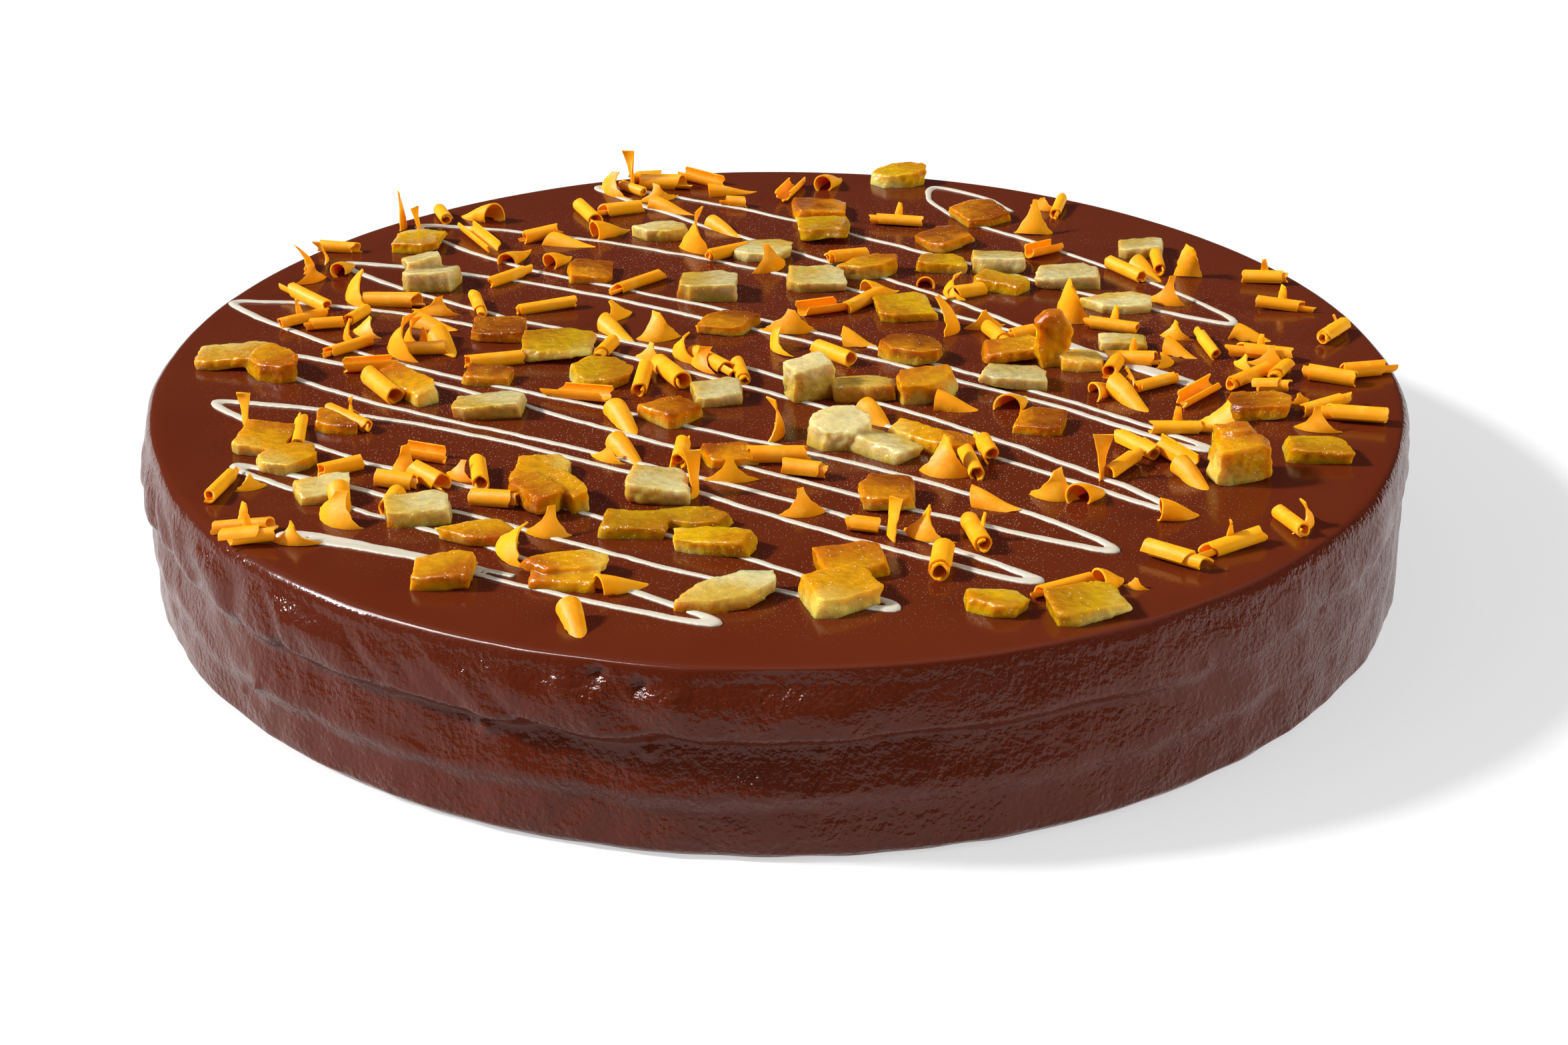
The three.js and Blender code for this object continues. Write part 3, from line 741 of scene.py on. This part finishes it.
@dataclass
class GlazedBody:
    """The cake under its glaze: a turned form with two lapped seams, lumps of run glaze and a round rim."""

    radius: float = CAKE_RADIUS
    height: float = CAKE_HEIGHT
    rim_round: float = 3.0
    rim_steps: int = 7
    shoulder: float = 1.7
    shoulder_from: float = 26.5
    shoulder_degrees: float = -86.0
    shoulder_spread: float = 30.0
    shoulder_least: float = 0.35
    shoulder_patches: Layers = ((0.3, 20.0),)
    foot_inset: float = 1.2
    foot_height: float = 1.4
    row_spacing: float = 0.55
    steps: int = 900
    ring_gaps: tuple[float, ...] = (1.5, 2, 3, 4, 6, 8, 10, 12, 14, 14, 14, 14, 14)
    seams: tuple[Seam, ...] = (Seam(13.4, 0.35, 0.8, 5.5, 1.6), Seam(25.4, 0.9, 3.0, 7.8, 1.8))
    undercut: float = 3.6
    lip_rise: float = 4.5
    lip_pull: float = 1.6
    seam_wobble: tuple[float, float] = (0.7, 11.0)
    seam_wander_size: float = 34.0
    # Far-off slices of the noise, so that the two seams and their patches don't follow each other
    seam_slice: float = 40.0
    patch_slice: float = 500.0
    seam_least: float = 0.1
    seam_strength: float = 0.35
    seam_patches: Layers = ((0.4, 40.0),)
    front_gain: float = 0.65
    front_spread: float = 45.0
    calm_loss: float = 0.5
    calm_degrees: float = -32.0
    calm_spread: float = 34.0
    waves: tuple[tuple[float, int, float], ...] = ((0.35, 5, 0.6), (0.25, 11, 2.1), (0.2, 17, 4.0))
    fold_depth: float = 1.7
    fold_size: float = 13.0
    fold_gain: float = 2.0
    fold_slant: float = 0.8
    fold_stretch: float = 3.0
    fold_wander: Layers = ((5.0, 12.0),)
    fold_degrees: float = -132.0
    fold_spread: float = 42.0
    fold_least: float = 0.3
    fold_band: tuple[float, float, float, float] = (0.5, 0.72, 0.8, 0.94)
    grain_degrees: float = -35.0
    grain_spread: float = 50.0
    lumps: Layers = ((0.6, 14.0), (0.3, 5.0))
    lump_calm: float = 0.7
    lump_fade: tuple[float, float] = (0.85, 0.95)
    top_lumps: Layers = ((0.12, 34.0), (0.05, 11.0))
    foot_lumps: Layers = ((0.9, 9.0),)
    spot_reach: float = 3.0
    weld: float = 0.001
    # Drips and bubbles, each as azimuth in degrees, height, size and how far it stands out or sank in
    spots: tuple[tuple[float, float, float, float], ...] = (
        (-112.7, 20.2, 1.7, 1.5), (-112.6, 21.2, 0.8, -1.2), (-99.6, 19.4, 1.0, 1.1),
        (-86.8, 19.6, 0.8, 0.8), (-135.7, 11.8, 0.9, 0.9), (-139.4, 7.0, 0.8, 0.6),
        (-103.4, 33.6, 1.0, -1.2), (-100.1, 32.0, 1.1, -1.4), (-97.6, 31.2, 2.2, 0.7),
        (-106.0, 31.4, 2.6, 0.8), (-55.4, 25.2, 1.1, 0.7), (-40.4, 23.3, 0.7, -0.7),
        (60.0, 20.0, 1.2, 1.0), (118.0, 19.0, 1.0, 0.9), (160.0, 12.0, 1.1, 0.8), (20.0, 25.0, 1.0, -0.9),
    )

    def profile(self) -> list[tuple[float, float]]:
        """Works out the turned profile.

        Returns:
            Radius and height of each row, from the middle of the underside to the middle of the top.
        """
        rows = [(0.0, 0.0), (self.radius - self.rim_round, 0.0), (self.radius - self.foot_inset, 0.0)]
        shoulder = self.height - self.rim_round
        count = round((shoulder - self.foot_height) / self.row_spacing)
        rise = (shoulder - self.foot_height) / count
        rows += [(self.radius, self.foot_height + i * rise) for i in range(count + 1)]
        inner = self.radius - self.rim_round
        for i in range(1, self.rim_steps + 1):
            angle = math.pi / 2 * i / self.rim_steps
            out, up = self.rim_round * math.cos(angle), self.rim_round * math.sin(angle)
            rows.append((inner + out, shoulder + up))
        reach = inner
        for gap in self.ring_gaps:
            reach -= gap
            rows.append((reach, self.height))
        rows.append((0.0, self.height))
        return rows

    def nearness(self, angle: float, degrees: float, spread: float) -> float:
        """Returns 1 at one azimuth of the side, falling evenly to 0 away from it."""
        away = (math.degrees(angle) - degrees + 180) % 360 - 180
        return math.exp(-((away / spread) ** 2))

    def fold(self, place: Vector, angle: float) -> float:
        """Returns from 0 to 1 how far one of the slanting lumps of run glaze stands out."""
        bent = self.fold_slant * place.z + layered_noise(place, self.fold_wander)
        turned = angle + bent / self.radius
        along = Vector((math.cos(turned), math.sin(turned), 0)) * self.radius
        along.z = place.z / self.fold_stretch
        lump = min(1.0, self.fold_gain * abs(bump_noise(along, self.fold_size)))
        near = self.nearness(angle, self.fold_degrees, self.fold_spread)
        return lump * (self.fold_least + (1 - self.fold_least) * near)

    def seam_relief(self, seam: Seam, place: Vector, angle: float, fold: float) -> float:
        """Works out how far the glaze stands out beside one seam.

        Args:
            seam: The seam.
            place: The point of the side.
            angle: Its azimuth, in radians.
            fold: How far a fold stands out there, which pulls the lip down.

        Returns:
            How far the glaze stands out.
        """
        level = Vector((place.x, place.y, self.seam_slice * seam.height))
        drift = layered_noise(level, ((seam.wander, self.seam_wander_size), self.seam_wobble))
        line = seam.height + drift - self.lip_pull * fold
        calm = self.calm_loss * self.nearness(angle, self.calm_degrees, self.calm_spread)
        front = self.front_gain * self.nearness(angle, self.shoulder_degrees, self.front_spread)
        patch = layered_noise(level + Vector((0, 0, self.patch_slice)), self.seam_patches)
        strength = max(self.seam_least, self.seam_strength + front - calm + patch)
        below = line - place.z
        if below < 0:
            return strength * seam.lip * math.exp(below / self.lip_rise)
        drop = smooth_step(0, self.undercut, below)
        back = max(0.0, 1 - max(0.0, below - self.undercut) / seam.run)
        return strength * (seam.lip * (1 - drop) - seam.depth * drop * back)

    def spot_relief(self, place: Vector, angle: float) -> float:
        """Returns how far a drip stands out, or a bubble sinks in, at a point of the side."""
        total = 0.0
        for degrees, z, size, proud in self.spots:
            away = self.radius * math.radians((math.degrees(angle) - degrees + 180) % 360 - 180)
            if max(abs(away), abs(place.z - z)) < self.spot_reach * size:
                total += proud * math.exp(-(away * away + (place.z - z) ** 2) / (size * size))
        return total

    def side_relief(self, place: Vector) -> float:
        """Returns how far the glaze stands out from the plain cylinder at a point of the side."""
        angle = math.atan2(place.y, place.x)
        share = place.z / self.height
        waves = sum(depth * math.sin(count * angle + phase) for depth, count, phase in self.waves)
        fold = self.fold(place, angle)
        low, full, fade, high = self.fold_band
        upper = smooth_step(low, full, share) * (1 - smooth_step(fade, high, share))
        seams = sum(self.seam_relief(seam, place, angle, fold) for seam in self.seams)
        lumps = layered_noise(place, self.lumps) * (1 - self.lump_calm * smooth_step(*self.lump_fade, share))
        folds = self.fold_depth * fold * upper
        steep = (place.z - self.shoulder_from) / (self.height - self.rim_round - self.shoulder_from)
        near = self.nearness(angle, self.shoulder_degrees, self.shoulder_spread)
        drawn_in = self.shoulder_least + (1 - self.shoulder_least) * near
        drawn_in += layered_noise(place, self.shoulder_patches)
        round_off = -self.shoulder * max(0.0, drawn_in) * min(1.0, max(0.0, steep)) ** 2
        swell = waves * math.sin(math.pi * share)
        return swell + seams + folds + lumps + round_off + self.spot_relief(place, angle)

    def build(self) -> bpy.types.Object:
        """Models the cake and dresses it.

        Returns:
            The piece that stands for the solid cake.
        """
        bm = bmesh.new()
        side_layer = bm.verts.layers.float.new("side")
        rows = [bm.verts.new((radius, 0, z)) for radius, z in self.profile()]
        edges = [bm.edges.new(pair) for pair in zip(rows, rows[1:])]
        bmesh.ops.spin(
            bm,
            geom=rows + edges,
            axis=(0, 0, 1),
            cent=(0, 0, 0),
            angle=2 * math.pi,
            steps=self.steps,
            use_merge=True,
        )
        bmesh.ops.remove_doubles(bm, verts=bm.verts, dist=self.weld)
        bmesh.ops.recalc_face_normals(bm, faces=bm.faces)
        for vert in bm.verts:
            place = vert.co.copy()
            out = Vector((place.x, place.y, 0))
            reach = out.length
            rounding = smooth_step(self.radius - self.rim_round, self.radius, reach)
            angle = math.atan2(place.y, place.x)
            vert[side_layer] = rounding * (1 + self.nearness(angle, self.grain_degrees, self.grain_spread))
            if place.z > self.foot_height / 2:
                vert.co += out.normalized() * self.side_relief(place) * rounding
                vert.co.z += layered_noise(place, self.top_lumps) * (1 - rounding)
            elif rounding > 0:
                vert.co += out.normalized() * layered_noise(place, self.foot_lumps) * rounding
        piece = hand_over("chocolate_glazed_cake", bm, ChocolateGlaze().material(), "chocolate_glaze")
        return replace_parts(piece, "glazed_cake")


@dataclass
class DrizzleZigzag:
    """The white chocolate zigzag: one piped line with thick drops where it turns back."""

    half_width: float = 0.72
    flatness: float = 0.5
    lift: float = 0.05
    turn_swell: float = 1.45
    turn_reach: float = 2.2
    round_steps: int = 2
    curve_steps: int = 14
    voxel: float = 0.46
    rounds: int = 2
    wander: float = 0.5
    wander_size: float = 9.0
    # Vector noise starts from the clock unless it is seeded, and each run has to give the same line
    wander_seed: int = 1795793770
    ripple: float = 0.4
    ripple_fineness: float = 3.0

    def route(self) -> bmesh.types.BMesh:
        """Lays the line along its strokes.

        Returns:
            A round line, in millimetres.
        """
        curve = bpy.data.curves.new("zigzag_route", "CURVE")
        curve.dimensions = "3D"
        curve.bevel_depth = self.half_width
        curve.bevel_resolution = self.round_steps
        curve.resolution_u = self.curve_steps
        curve.use_fill_caps = True
        points = [(x, y, i == 0) for row in DRIZZLE_STROKES for i, (x, y) in enumerate(row)]
        spline = curve.splines.new("BEZIER")
        spline.bezier_points.add(len(points) - 1)
        for i, (x, y, turns) in enumerate(points):
            knot = spline.bezier_points[i]
            knot.co = (x, y, 0)
            knot.handle_left_type = "AUTO"
            knot.handle_right_type = "AUTO"
            knot.radius = 1.0
            if turns and 0 < i < len(points) - 1:
                before = Vector((x - points[i - 1][0], y - points[i - 1][1], 0)).normalized()
                after = Vector((points[i + 1][0] - x, points[i + 1][1] - y, 0)).normalized()
                aside = (before + after).normalized() * self.turn_reach
                knot.handle_left_type = "FREE"
                knot.handle_right_type = "FREE"
                knot.handle_left = knot.co - aside
                knot.handle_right = knot.co + aside
                knot.radius = self.turn_swell
        line = bpy.data.objects.new("zigzag_route", curve)
        bpy.context.scene.collection.objects.link(line)
        mesh = line.evaluated_get(bpy.context.evaluated_depsgraph_get()).to_mesh()
        bm = bmesh.new()
        bm.from_mesh(mesh)
        bpy.data.curves.remove(curve)
        return bm

    def build(self) -> bpy.types.Object:
        """Models the zigzag and dresses it.

        Returns:
            The piece.
        """
        bm = remeshed(object_of("zigzag_blank", self.route()), self.voxel)
        softened(bm, self.rounds)
        noise.seed_set(self.wander_seed)
        for vert in bm.verts:
            drift = noise.noise_vector(vert.co / self.wander_size)
            drift += self.ripple * noise.noise_vector(self.ripple_fineness * vert.co / self.wander_size)
            vert.co.x += self.wander * drift.x
            vert.co.y += self.wander * drift.y
            vert.co.z = vert.co.z * self.flatness + CAKE_HEIGHT + self.lift
        return hand_over("white_chocolate_zigzag", bm, WhiteChocolate().material(), None)


class CurlForm(Enum):
    """The ways in which a shaving curled."""

    ROLL = "roll"
    CORNET = "cornet"
    TROUGH = "trough"
    SAIL = "sail"
    HORN = "horn"


@dataclass
class ChocolateCurls:
    """Orange chocolate curls: thin shavings that rolled up, arched, or stand on edge as pointed flakes."""

    shaving: float = 0.36
    columns: int = 7
    rows: int = 26
    roll_radius: float = 1.75
    roll_spread: tuple[float, float] = (0.8, 1.1)
    roll_turns: tuple[float, float] = (1.15, 1.6)
    roll_start: tuple[float, float] = (0.3, 0.8)
    roll_taper: float = 0.15
    roll_skew: float = 2.0
    roll_tears: float = 7.0
    winding: float = 0.27
    cornet_radius: tuple[float, float] = (1.9, 2.6)
    cornet_closed: tuple[float, float] = (0.55, 0.85)
    cornet_taper: float = 0.4
    cornet_point: float = 1.6
    cornet_open: float = 1.05
    cornet_fray: float = 2.0
    cornet_tears: float = 5.0
    trough_radius: float = 2.2
    trough_turns: float = 0.6
    trough_start: float = 0.2
    horn_width: float = 3.0
    horn_height: float = 5.6
    horn_hollow: float = 0.8
    horn_lean: float = 0.15
    horn_tip: float = 0.22
    sail_spread: float = 1.2
    sail_bow: tuple[float, float] = (0.42, 0.75)
    sail_lean: tuple[float, float] = (0.3, 0.85)
    sail_hollow: tuple[float, float] = (1.3, 2.3)
    sail_arch: float = 0.1
    sail_twist: float = 0.25
    sail_tip: float = 0.1
    sail_curve: float = 1.5
    sail_tears: float = 6.0
    fray: float = 0.18
    # Where the two edges of a shaving read the noise, and the range that its own part of it is drawn from
    edge_slice: float = 3.0
    slices: float = 100.0
    crisp_degrees: float = 50.0
    sink: float = 0.25
    tilt_degrees: float = 5.0
    seed: int = 11

    def torn(self, place: float, own: float, edge: float) -> float:
        """Returns how far a shaving's ragged edge stands out or back at one place along it."""
        return self.fray * noise.noise(Vector((place, own, math.copysign(self.edge_slice, edge))))

    def rolled(
        self, length: float, radius: float, turns: float, start: float, rng: random.Random
    ) -> Bend:
        """Describes a shaving that is rolled up round the X axis, with ragged ends.

        Args:
            length: Length along the axis.
            radius: Radius of the outside.
            turns: How far it is rolled.
            start: Where its outer edge lies, in turns.
            rng: The curls' own random draw.

        Returns:
            How the sheet is bent.
        """
        skew = rng.uniform(-self.roll_skew, self.roll_skew)
        own = rng.uniform(0, self.slices)

        def bend(along: float, around: float) -> Vector:
            """Returns where one place of the sheet lies."""
            share = (around + 1) / 2
            spiral = radius * (1 - self.winding * turns * share)
            angle = 2 * math.pi * (start + turns * share)
            torn = 1 + self.torn(self.roll_tears * share, own, along)
            x = along * length / 2 * (1 - self.roll_taper * (1 - share)) * torn + skew * around
            return Vector((x, spiral * math.sin(angle), radius + spiral * math.cos(angle)))

        return bend

    def arched(self, length: float, radius: float, closed: float, rng: random.Random) -> Bend:
        """Describes a shaving that arches over the X axis and narrows to a point at its +X end.

        Args:
            length: Length along the axis.
            radius: Radius of its wide end.
            closed: How far the wide end is closed to a ring, from 0 to 1.
            rng: The curls' own random draw.

        Returns:
            How the sheet is bent.
        """
        skew = rng.uniform(-self.roll_skew, self.roll_skew)
        own = rng.uniform(0, self.slices)

        def bend(along: float, around: float) -> Vector:
            """Returns where one place of the sheet lies."""
            share = (along + 1) / 2
            here = radius * (1 - self.cornet_taper * share)
            torn = 1 + self.cornet_fray * self.torn(self.cornet_tears * share, own, around)
            half = math.pi * closed * (self.cornet_open - share**self.cornet_point)
            angle = around * half * torn
            x = along * length / 2 + skew * around * (1 - share)
            return Vector((x, here * math.sin(angle), here * (math.cos(angle) - math.cos(half))))

        return bend

    def standing(self, width: float, height: float, rng: random.Random) -> Bend:
        """Describes a flake that stands on its wide end and narrows to a leaning point.

        Args:
            width: Width at the foot.
            height: Height of the point.
            rng: The curls' own random draw.

        Returns:
            How the sheet is bent.
        """
        slender = height > width
        wide = width if slender else width * self.sail_spread
        radius = wide * rng.uniform(*self.sail_bow)
        lean = self.horn_lean if slender else rng.uniform(*self.sail_lean)
        hollow = self.horn_hollow if slender else rng.uniform(*self.sail_hollow)
        tip = self.horn_tip if slender else self.sail_tip
        arch = rng.uniform(0, self.sail_arch)
        twist = rng.uniform(-self.sail_twist, self.sail_twist)
        own = rng.uniform(0, self.slices)

        def bend(across: float, up: float) -> Vector:
            """Returns where one place of the sheet lies."""
            share = (up + 1) / 2
            torn = 1 + self.torn(self.sail_tears * share, own, across)
            half = wide / 2 * (tip + (1 - tip) * (1 - share) ** hollow) * torn
            angle = across * half / radius
            back = radius * (1 - math.cos(angle)) + (lean + twist * across) * height * share**self.sail_curve
            rise = height * (share + arch * (1 - across * across) * (1 - share))
            return Vector((radius * math.sin(angle), back, rise))

        return bend

    def add_shaving(self, bm: bmesh.types.BMesh, bend: Bend, place: Matrix, tint: float) -> None:
        """Adds one shaving to the heap.

        Args:
            bm: The heap.
            bend: How the flat sheet is bent.
            place: Where it lies.
            tint: Its own shade of orange, from 0 to 1.
        """
        layer = bm.verts.layers.float["tint"]
        grid = bmesh.ops.create_grid(bm, x_segments=self.columns, y_segments=self.rows, size=1)["verts"]
        for vert in grid:
            vert.co = bend(vert.co.x, vert.co.y)
        faces = list(dict.fromkeys(face for vert in grid for face in vert.link_faces))
        bmesh.ops.recalc_face_normals(bm, faces=faces)
        shell = bmesh.ops.solidify(bm, geom=faces, thickness=self.shaving)["geom"]
        inside = [item for item in shell if isinstance(item, bmesh.types.BMVert)]
        verts = list(dict.fromkeys([*grid, *inside]))
        bmesh.ops.transform(bm, matrix=place, verts=verts)
        for vert in verts:
            vert[layer] = tint

    def form_of(self, form: CurlForm, length: float, height: float, rng: random.Random) -> Bend:
        """Picks how a shaving of one form is bent.

        Args:
            form: The form.
            length: Its length, or its width if it stands.
            height: Its height, if it stands.
            rng: The curls' own random draw.

        Returns:
            How the sheet is bent.
        """
        start = rng.uniform(*self.roll_start)
        if form is CurlForm.ROLL:
            radius = self.roll_radius * rng.uniform(*self.roll_spread)
            return self.rolled(length, radius, rng.uniform(*self.roll_turns), start, rng)
        if form is CurlForm.CORNET:
            mouth = rng.uniform(*self.cornet_radius)
            return self.arched(length, mouth, rng.uniform(*self.cornet_closed), rng)
        if form is CurlForm.TROUGH:
            return self.rolled(length, self.trough_radius, self.trough_turns, self.trough_start, rng)
        return self.standing(length, height, rng)

    def build(self) -> bpy.types.Object:
        """Models all the curls as one heap and dresses it.

        Returns:
            The piece.
        """
        rng = random.Random(self.seed)
        bm = bmesh.new()
        bm.verts.layers.float.new("tint")
        laid = [(CurlForm.ROLL, *curl, 0.0) for curl in (*ROLLS, *HORNED_ROLLS)]
        laid += [(CurlForm.CORNET, *curl, 0.0) for curl in CORNETS]
        laid += [(CurlForm.TROUGH, *curl, 0.0) for curl in TROUGHS]
        laid += [(CurlForm.SAIL, *curl) for curl in SAILS]
        horn = (self.horn_width, self.horn_height)
        laid += [(CurlForm.HORN, x, y, turn, *horn) for x, y, turn, _ in HORNED_ROLLS]
        for form, x, y, turn, length, height in laid:
            tilt = [math.radians(rng.uniform(-self.tilt_degrees, self.tilt_degrees)) for _ in range(2)]
            place = (
                Matrix.Translation((x, y, CAKE_HEIGHT - self.sink))
                @ Matrix.Rotation(math.radians(turn), 4, "Z")
                @ Matrix.Rotation(tilt[0], 4, "X")
                @ Matrix.Rotation(tilt[1], 4, "Y")
            )
            self.add_shaving(bm, self.form_of(form, length, height, rng), place, rng.random())
        finish = OrangeChocolate().material()
        return hand_over("orange_chocolate_curls", bm, finish, None, self.crisp_degrees)


class PeelKind(Enum):
    """The colours of candied peel, each with the finish that it has."""

    GOLDEN = CandiedRind("golden_candied_peel", "#ae6203", "#cc8f04", "#d2b556", 0.45, frost_from=0.76)
    AMBER = CandiedRind("amber_candied_peel", "#8c4601", "#c67f03", "#d0a42e", 0.9, frost_from=0.82)
    PALE = CandiedRind("pale_candied_peel", "#b06a06", "#bd9c40", "#c8b984", -0.75, frost_from=0.68)
    OLIVE = CandiedRind("olive_candied_peel", "#b07703", "#c39605", "#ceb964", 0.8, frost_from=0.76)

    @property
    def slot(self) -> str:
        """Returns the record's slot for this colour, which its nodes' names start with."""
        return f"{self.name.lower()}_peel"


@dataclass
class CandiedPeel:
    """The diced candied peel of one colour, grown from the plain dice of the frame."""

    kind: PeelKind
    nodes: dict[str, bpy.types.Object]
    voxel: float = 0.36
    rounds: int = 1
    dent_size: float = 5.0
    dent_depth: float = 0.25
    edge_depth: float = 0.5
    crinkle_size: float = 1.5
    crinkle_depth: float = 0.1
    cut_depth: float = 0.3
    sink: float = 0.3
    settle: tuple[float, float] = (0.5, 1.6)
    skin_stretch: float = 3.0
    weld: float = 0.01

    def dice(self) -> list[str]:
        """Returns the names of the frame's dice of this colour."""
        return sorted(name for name in self.nodes if name.startswith(self.kind.slot))

    def grown(self, name: str) -> bmesh.types.BMesh:
        """Models one dice, or a few that stick together, as a crinkled piece that sits in the glaze.

        Args:
            name: The node's name.

        Returns:
            The piece, in millimetres.
        """
        bm = bmesh.new()
        bm.from_mesh(self.nodes[name].data)
        bmesh.ops.scale(bm, vec=(1 / MM, 1 / MM, 1 / MM), verts=bm.verts)
        bmesh.ops.remove_doubles(bm, verts=bm.verts, dist=self.weld)
        bm = remeshed(object_of(name + "_blank", bm), self.voxel)
        softened(bm, self.rounds)
        bm.normal_update()
        moves = []
        for vert in bm.verts:
            upright = 1 - abs(vert.normal.z)
            dent = (self.dent_depth + self.edge_depth * upright) * bump_noise(vert.co, self.dent_size)
            rough = self.crinkle_depth + self.cut_depth * upright
            crinkle = rough * bump_noise(vert.co, self.crinkle_size)
            above = vert.co.z - CAKE_HEIGHT
            near = 1 - smooth_step(*self.settle, above)
            down = Vector((0, 0, near * (above + self.sink)))
            moves.append(vert.normal * (dent + crinkle) * (1 - near) - down)
        for vert, move in zip(bm.verts, moves):
            vert.co += move
        return bm

    def build(self) -> bpy.types.Object:
        """Models all the dice of this colour as one piece and dresses it.

        Returns:
            The piece that stands for their nodes.
        """
        rng = random.Random(self.kind.slot)
        whole = bmesh.new()
        rind_layer = whole.verts.layers.float.new("rind")
        tint_layer = whole.verts.layers.float.new("tint")
        names = self.dice()
        for name in names:
            single = self.grown(name)
            mesh = bpy.data.meshes.new(name)
            single.to_mesh(mesh)
            single.free()
            first = len(whole.verts)
            whole.from_mesh(mesh)
            bpy.data.meshes.remove(mesh)
            whole.verts.ensure_lookup_table()
            verts = whole.verts[first:]
            # Colour runs from pith to skin along a tilt; a skin on top also pales the sides as painted glow
            angle = rng.uniform(0, 2 * math.pi)
            skin_up = self.kind.value.skin_up
            level = math.sqrt(1 - skin_up**2)
            towards = Vector((level * math.cos(angle), level * math.sin(angle), self.skin_stretch * skin_up))
            reaches = [vert.co.dot(towards) for vert in verts]
            tint = rng.random()
            pith, skin = min(reaches), max(reaches)
            for vert, reach in zip(verts, reaches):
                vert[rind_layer] = (reach - pith) / (skin - pith)
                vert[tint_layer] = tint
        piece = hand_over(f"{self.kind.slot}_dice", whole, self.kind.value.material(), self.kind.slot)
        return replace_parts(piece, *names)


class SunUse(Enum):
    """What a far light is for, as whether it lights the cake and whether it shows in what shines."""

    BOTH = (True, True)
    LIGHT = (True, False)
    GLINT = (False, True)


@dataclass(frozen=True)
class Sun:
    """A far light: where it shines from, and how wide it looks, which softens its shadows."""

    name: str
    direction: tuple[float, float, float]
    strength: float
    spread_degrees: float
    use: SunUse

    def hang(self) -> None:
        """Hangs up the light."""
        light = bpy.data.lights.new(self.name, "SUN")
        light.energy = self.strength
        light.angle = math.radians(self.spread_degrees)
        lamp = bpy.data.objects.new(self.name, light)
        lamp.rotation_mode = "QUATERNION"
        lamp.rotation_quaternion = Vector(self.direction).to_track_quat("Z", "Y")
        lamp.visible_diffuse, lamp.visible_glossy = self.use.value
        bpy.context.scene.collection.objects.link(lamp)


@dataclass
class Studio:
    """The plain white sweep, the lights and the camera."""

    camera_distance: float = 520.0
    camera_elevation: float = 22.84
    view_pitch: float = 26.47
    view_yaw: float = 0.166
    lens: float = 56.85
    sensor: float = 36.0
    nearest: float = 10.0
    floor_size: float = 40000.0
    floor_drop: float = 0.3
    suns: tuple[Sun, ...] = (
        Sun("key", (-0.82, 0.02, 0.57), 4.8, 7.0, SunUse.BOTH),
        Sun("fill", (0.95, -0.2, 0.22), 2.6, 50.0, SunUse.LIGHT),
        Sun("glance", (-0.95, -0.2, 0.25), 1.2, 60.0, SunUse.LIGHT),
        Sun("glint_0", (-0.69, 0.02, 0.72), 2.0, 18.0, SunUse.GLINT),
        Sun("glint_1", (-0.57, -0.13, 0.81), 2.0, 18.0, SunUse.GLINT),
        Sun("glint_2", (-0.41, -0.24, 0.88), 2.0, 18.0, SunUse.GLINT),
    )
    room: str = "#3a3b3d"
    ceiling: str = "#aeb0b4"
    ceiling_from: float = 0.5
    ceiling_full: float = 0.8

    def light(self) -> None:
        """Lights the cake from both sides, with a strip that glints, under a pale ceiling in a dim room."""
        for sun in self.suns:
            sun.hang()
        world = bpy.data.worlds.new("studio")
        world.use_nodes = True
        tree = world.node_tree
        where = add_node(tree, "TexCoord", {}, "Generated")
        rise = add_node(tree, "SeparateXYZ", {"Vector": where}, "Z")
        overhead = add_node(
            tree,
            "MapRange",
            {"Value": rise, "From Min": self.ceiling_from, "From Max": self.ceiling_full},
            interpolation_type="SMOOTHSTEP",
        )
        sky = {MIX_FACTOR: overhead, MIX_A: linear(self.room), MIX_B: linear(self.ceiling)}
        plug(tree.nodes["Background"], {"Color": add_node(tree, "Mix", sky, **COLOUR_MIX)})
        bpy.context.scene.world = world
        bpy.context.scene.view_settings.view_transform = "Standard"

    def build(self) -> None:
        """Makes the floor, the lights and the camera."""
        bm = bmesh.new()
        bmesh.ops.create_grid(bm, x_segments=1, y_segments=1, size=self.floor_size * MM / 2)
        bmesh.ops.translate(bm, vec=(0, 0, -self.floor_drop * MM), verts=bm.verts)
        floor = object_of("paper_sweep", bm)
        floor.data.materials.append(PaperSweep().material())
        self.light()

        data = bpy.data.cameras.new("camera")
        data.lens = self.lens
        data.sensor_width = self.sensor
        data.clip_start = self.nearest * MM
        camera = bpy.data.objects.new("camera", data)
        up, pitch, yaw = (math.radians(a) for a in (self.camera_elevation, self.view_pitch, self.view_yaw))
        back = self.camera_distance * math.cos(up)
        camera.location = Vector((0, -back, CAKE_HEIGHT + self.camera_distance * math.sin(up))) * MM
        level = math.cos(pitch)
        forward = Vector((math.sin(yaw) * level, math.cos(yaw) * level, -math.sin(pitch)))
        camera.rotation_mode = "QUATERNION"
        camera.rotation_quaternion = forward.to_track_quat("-Z", "Y")
        bpy.context.scene.collection.objects.link(camera)
        bpy.context.scene.camera = camera


def main() -> None:
    """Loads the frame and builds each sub-assembly round it."""
    logging.basicConfig(level=logging.INFO, format="%(name)s: %(message)s")
    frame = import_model()
    Studio().build()
    GlazedBody().build()
    DrizzleZigzag().build()
    ChocolateCurls().build()
    for kind in PeelKind:
        CandiedPeel(kind, frame["nodes"]).build()


if __name__ == "__main__":
    main()
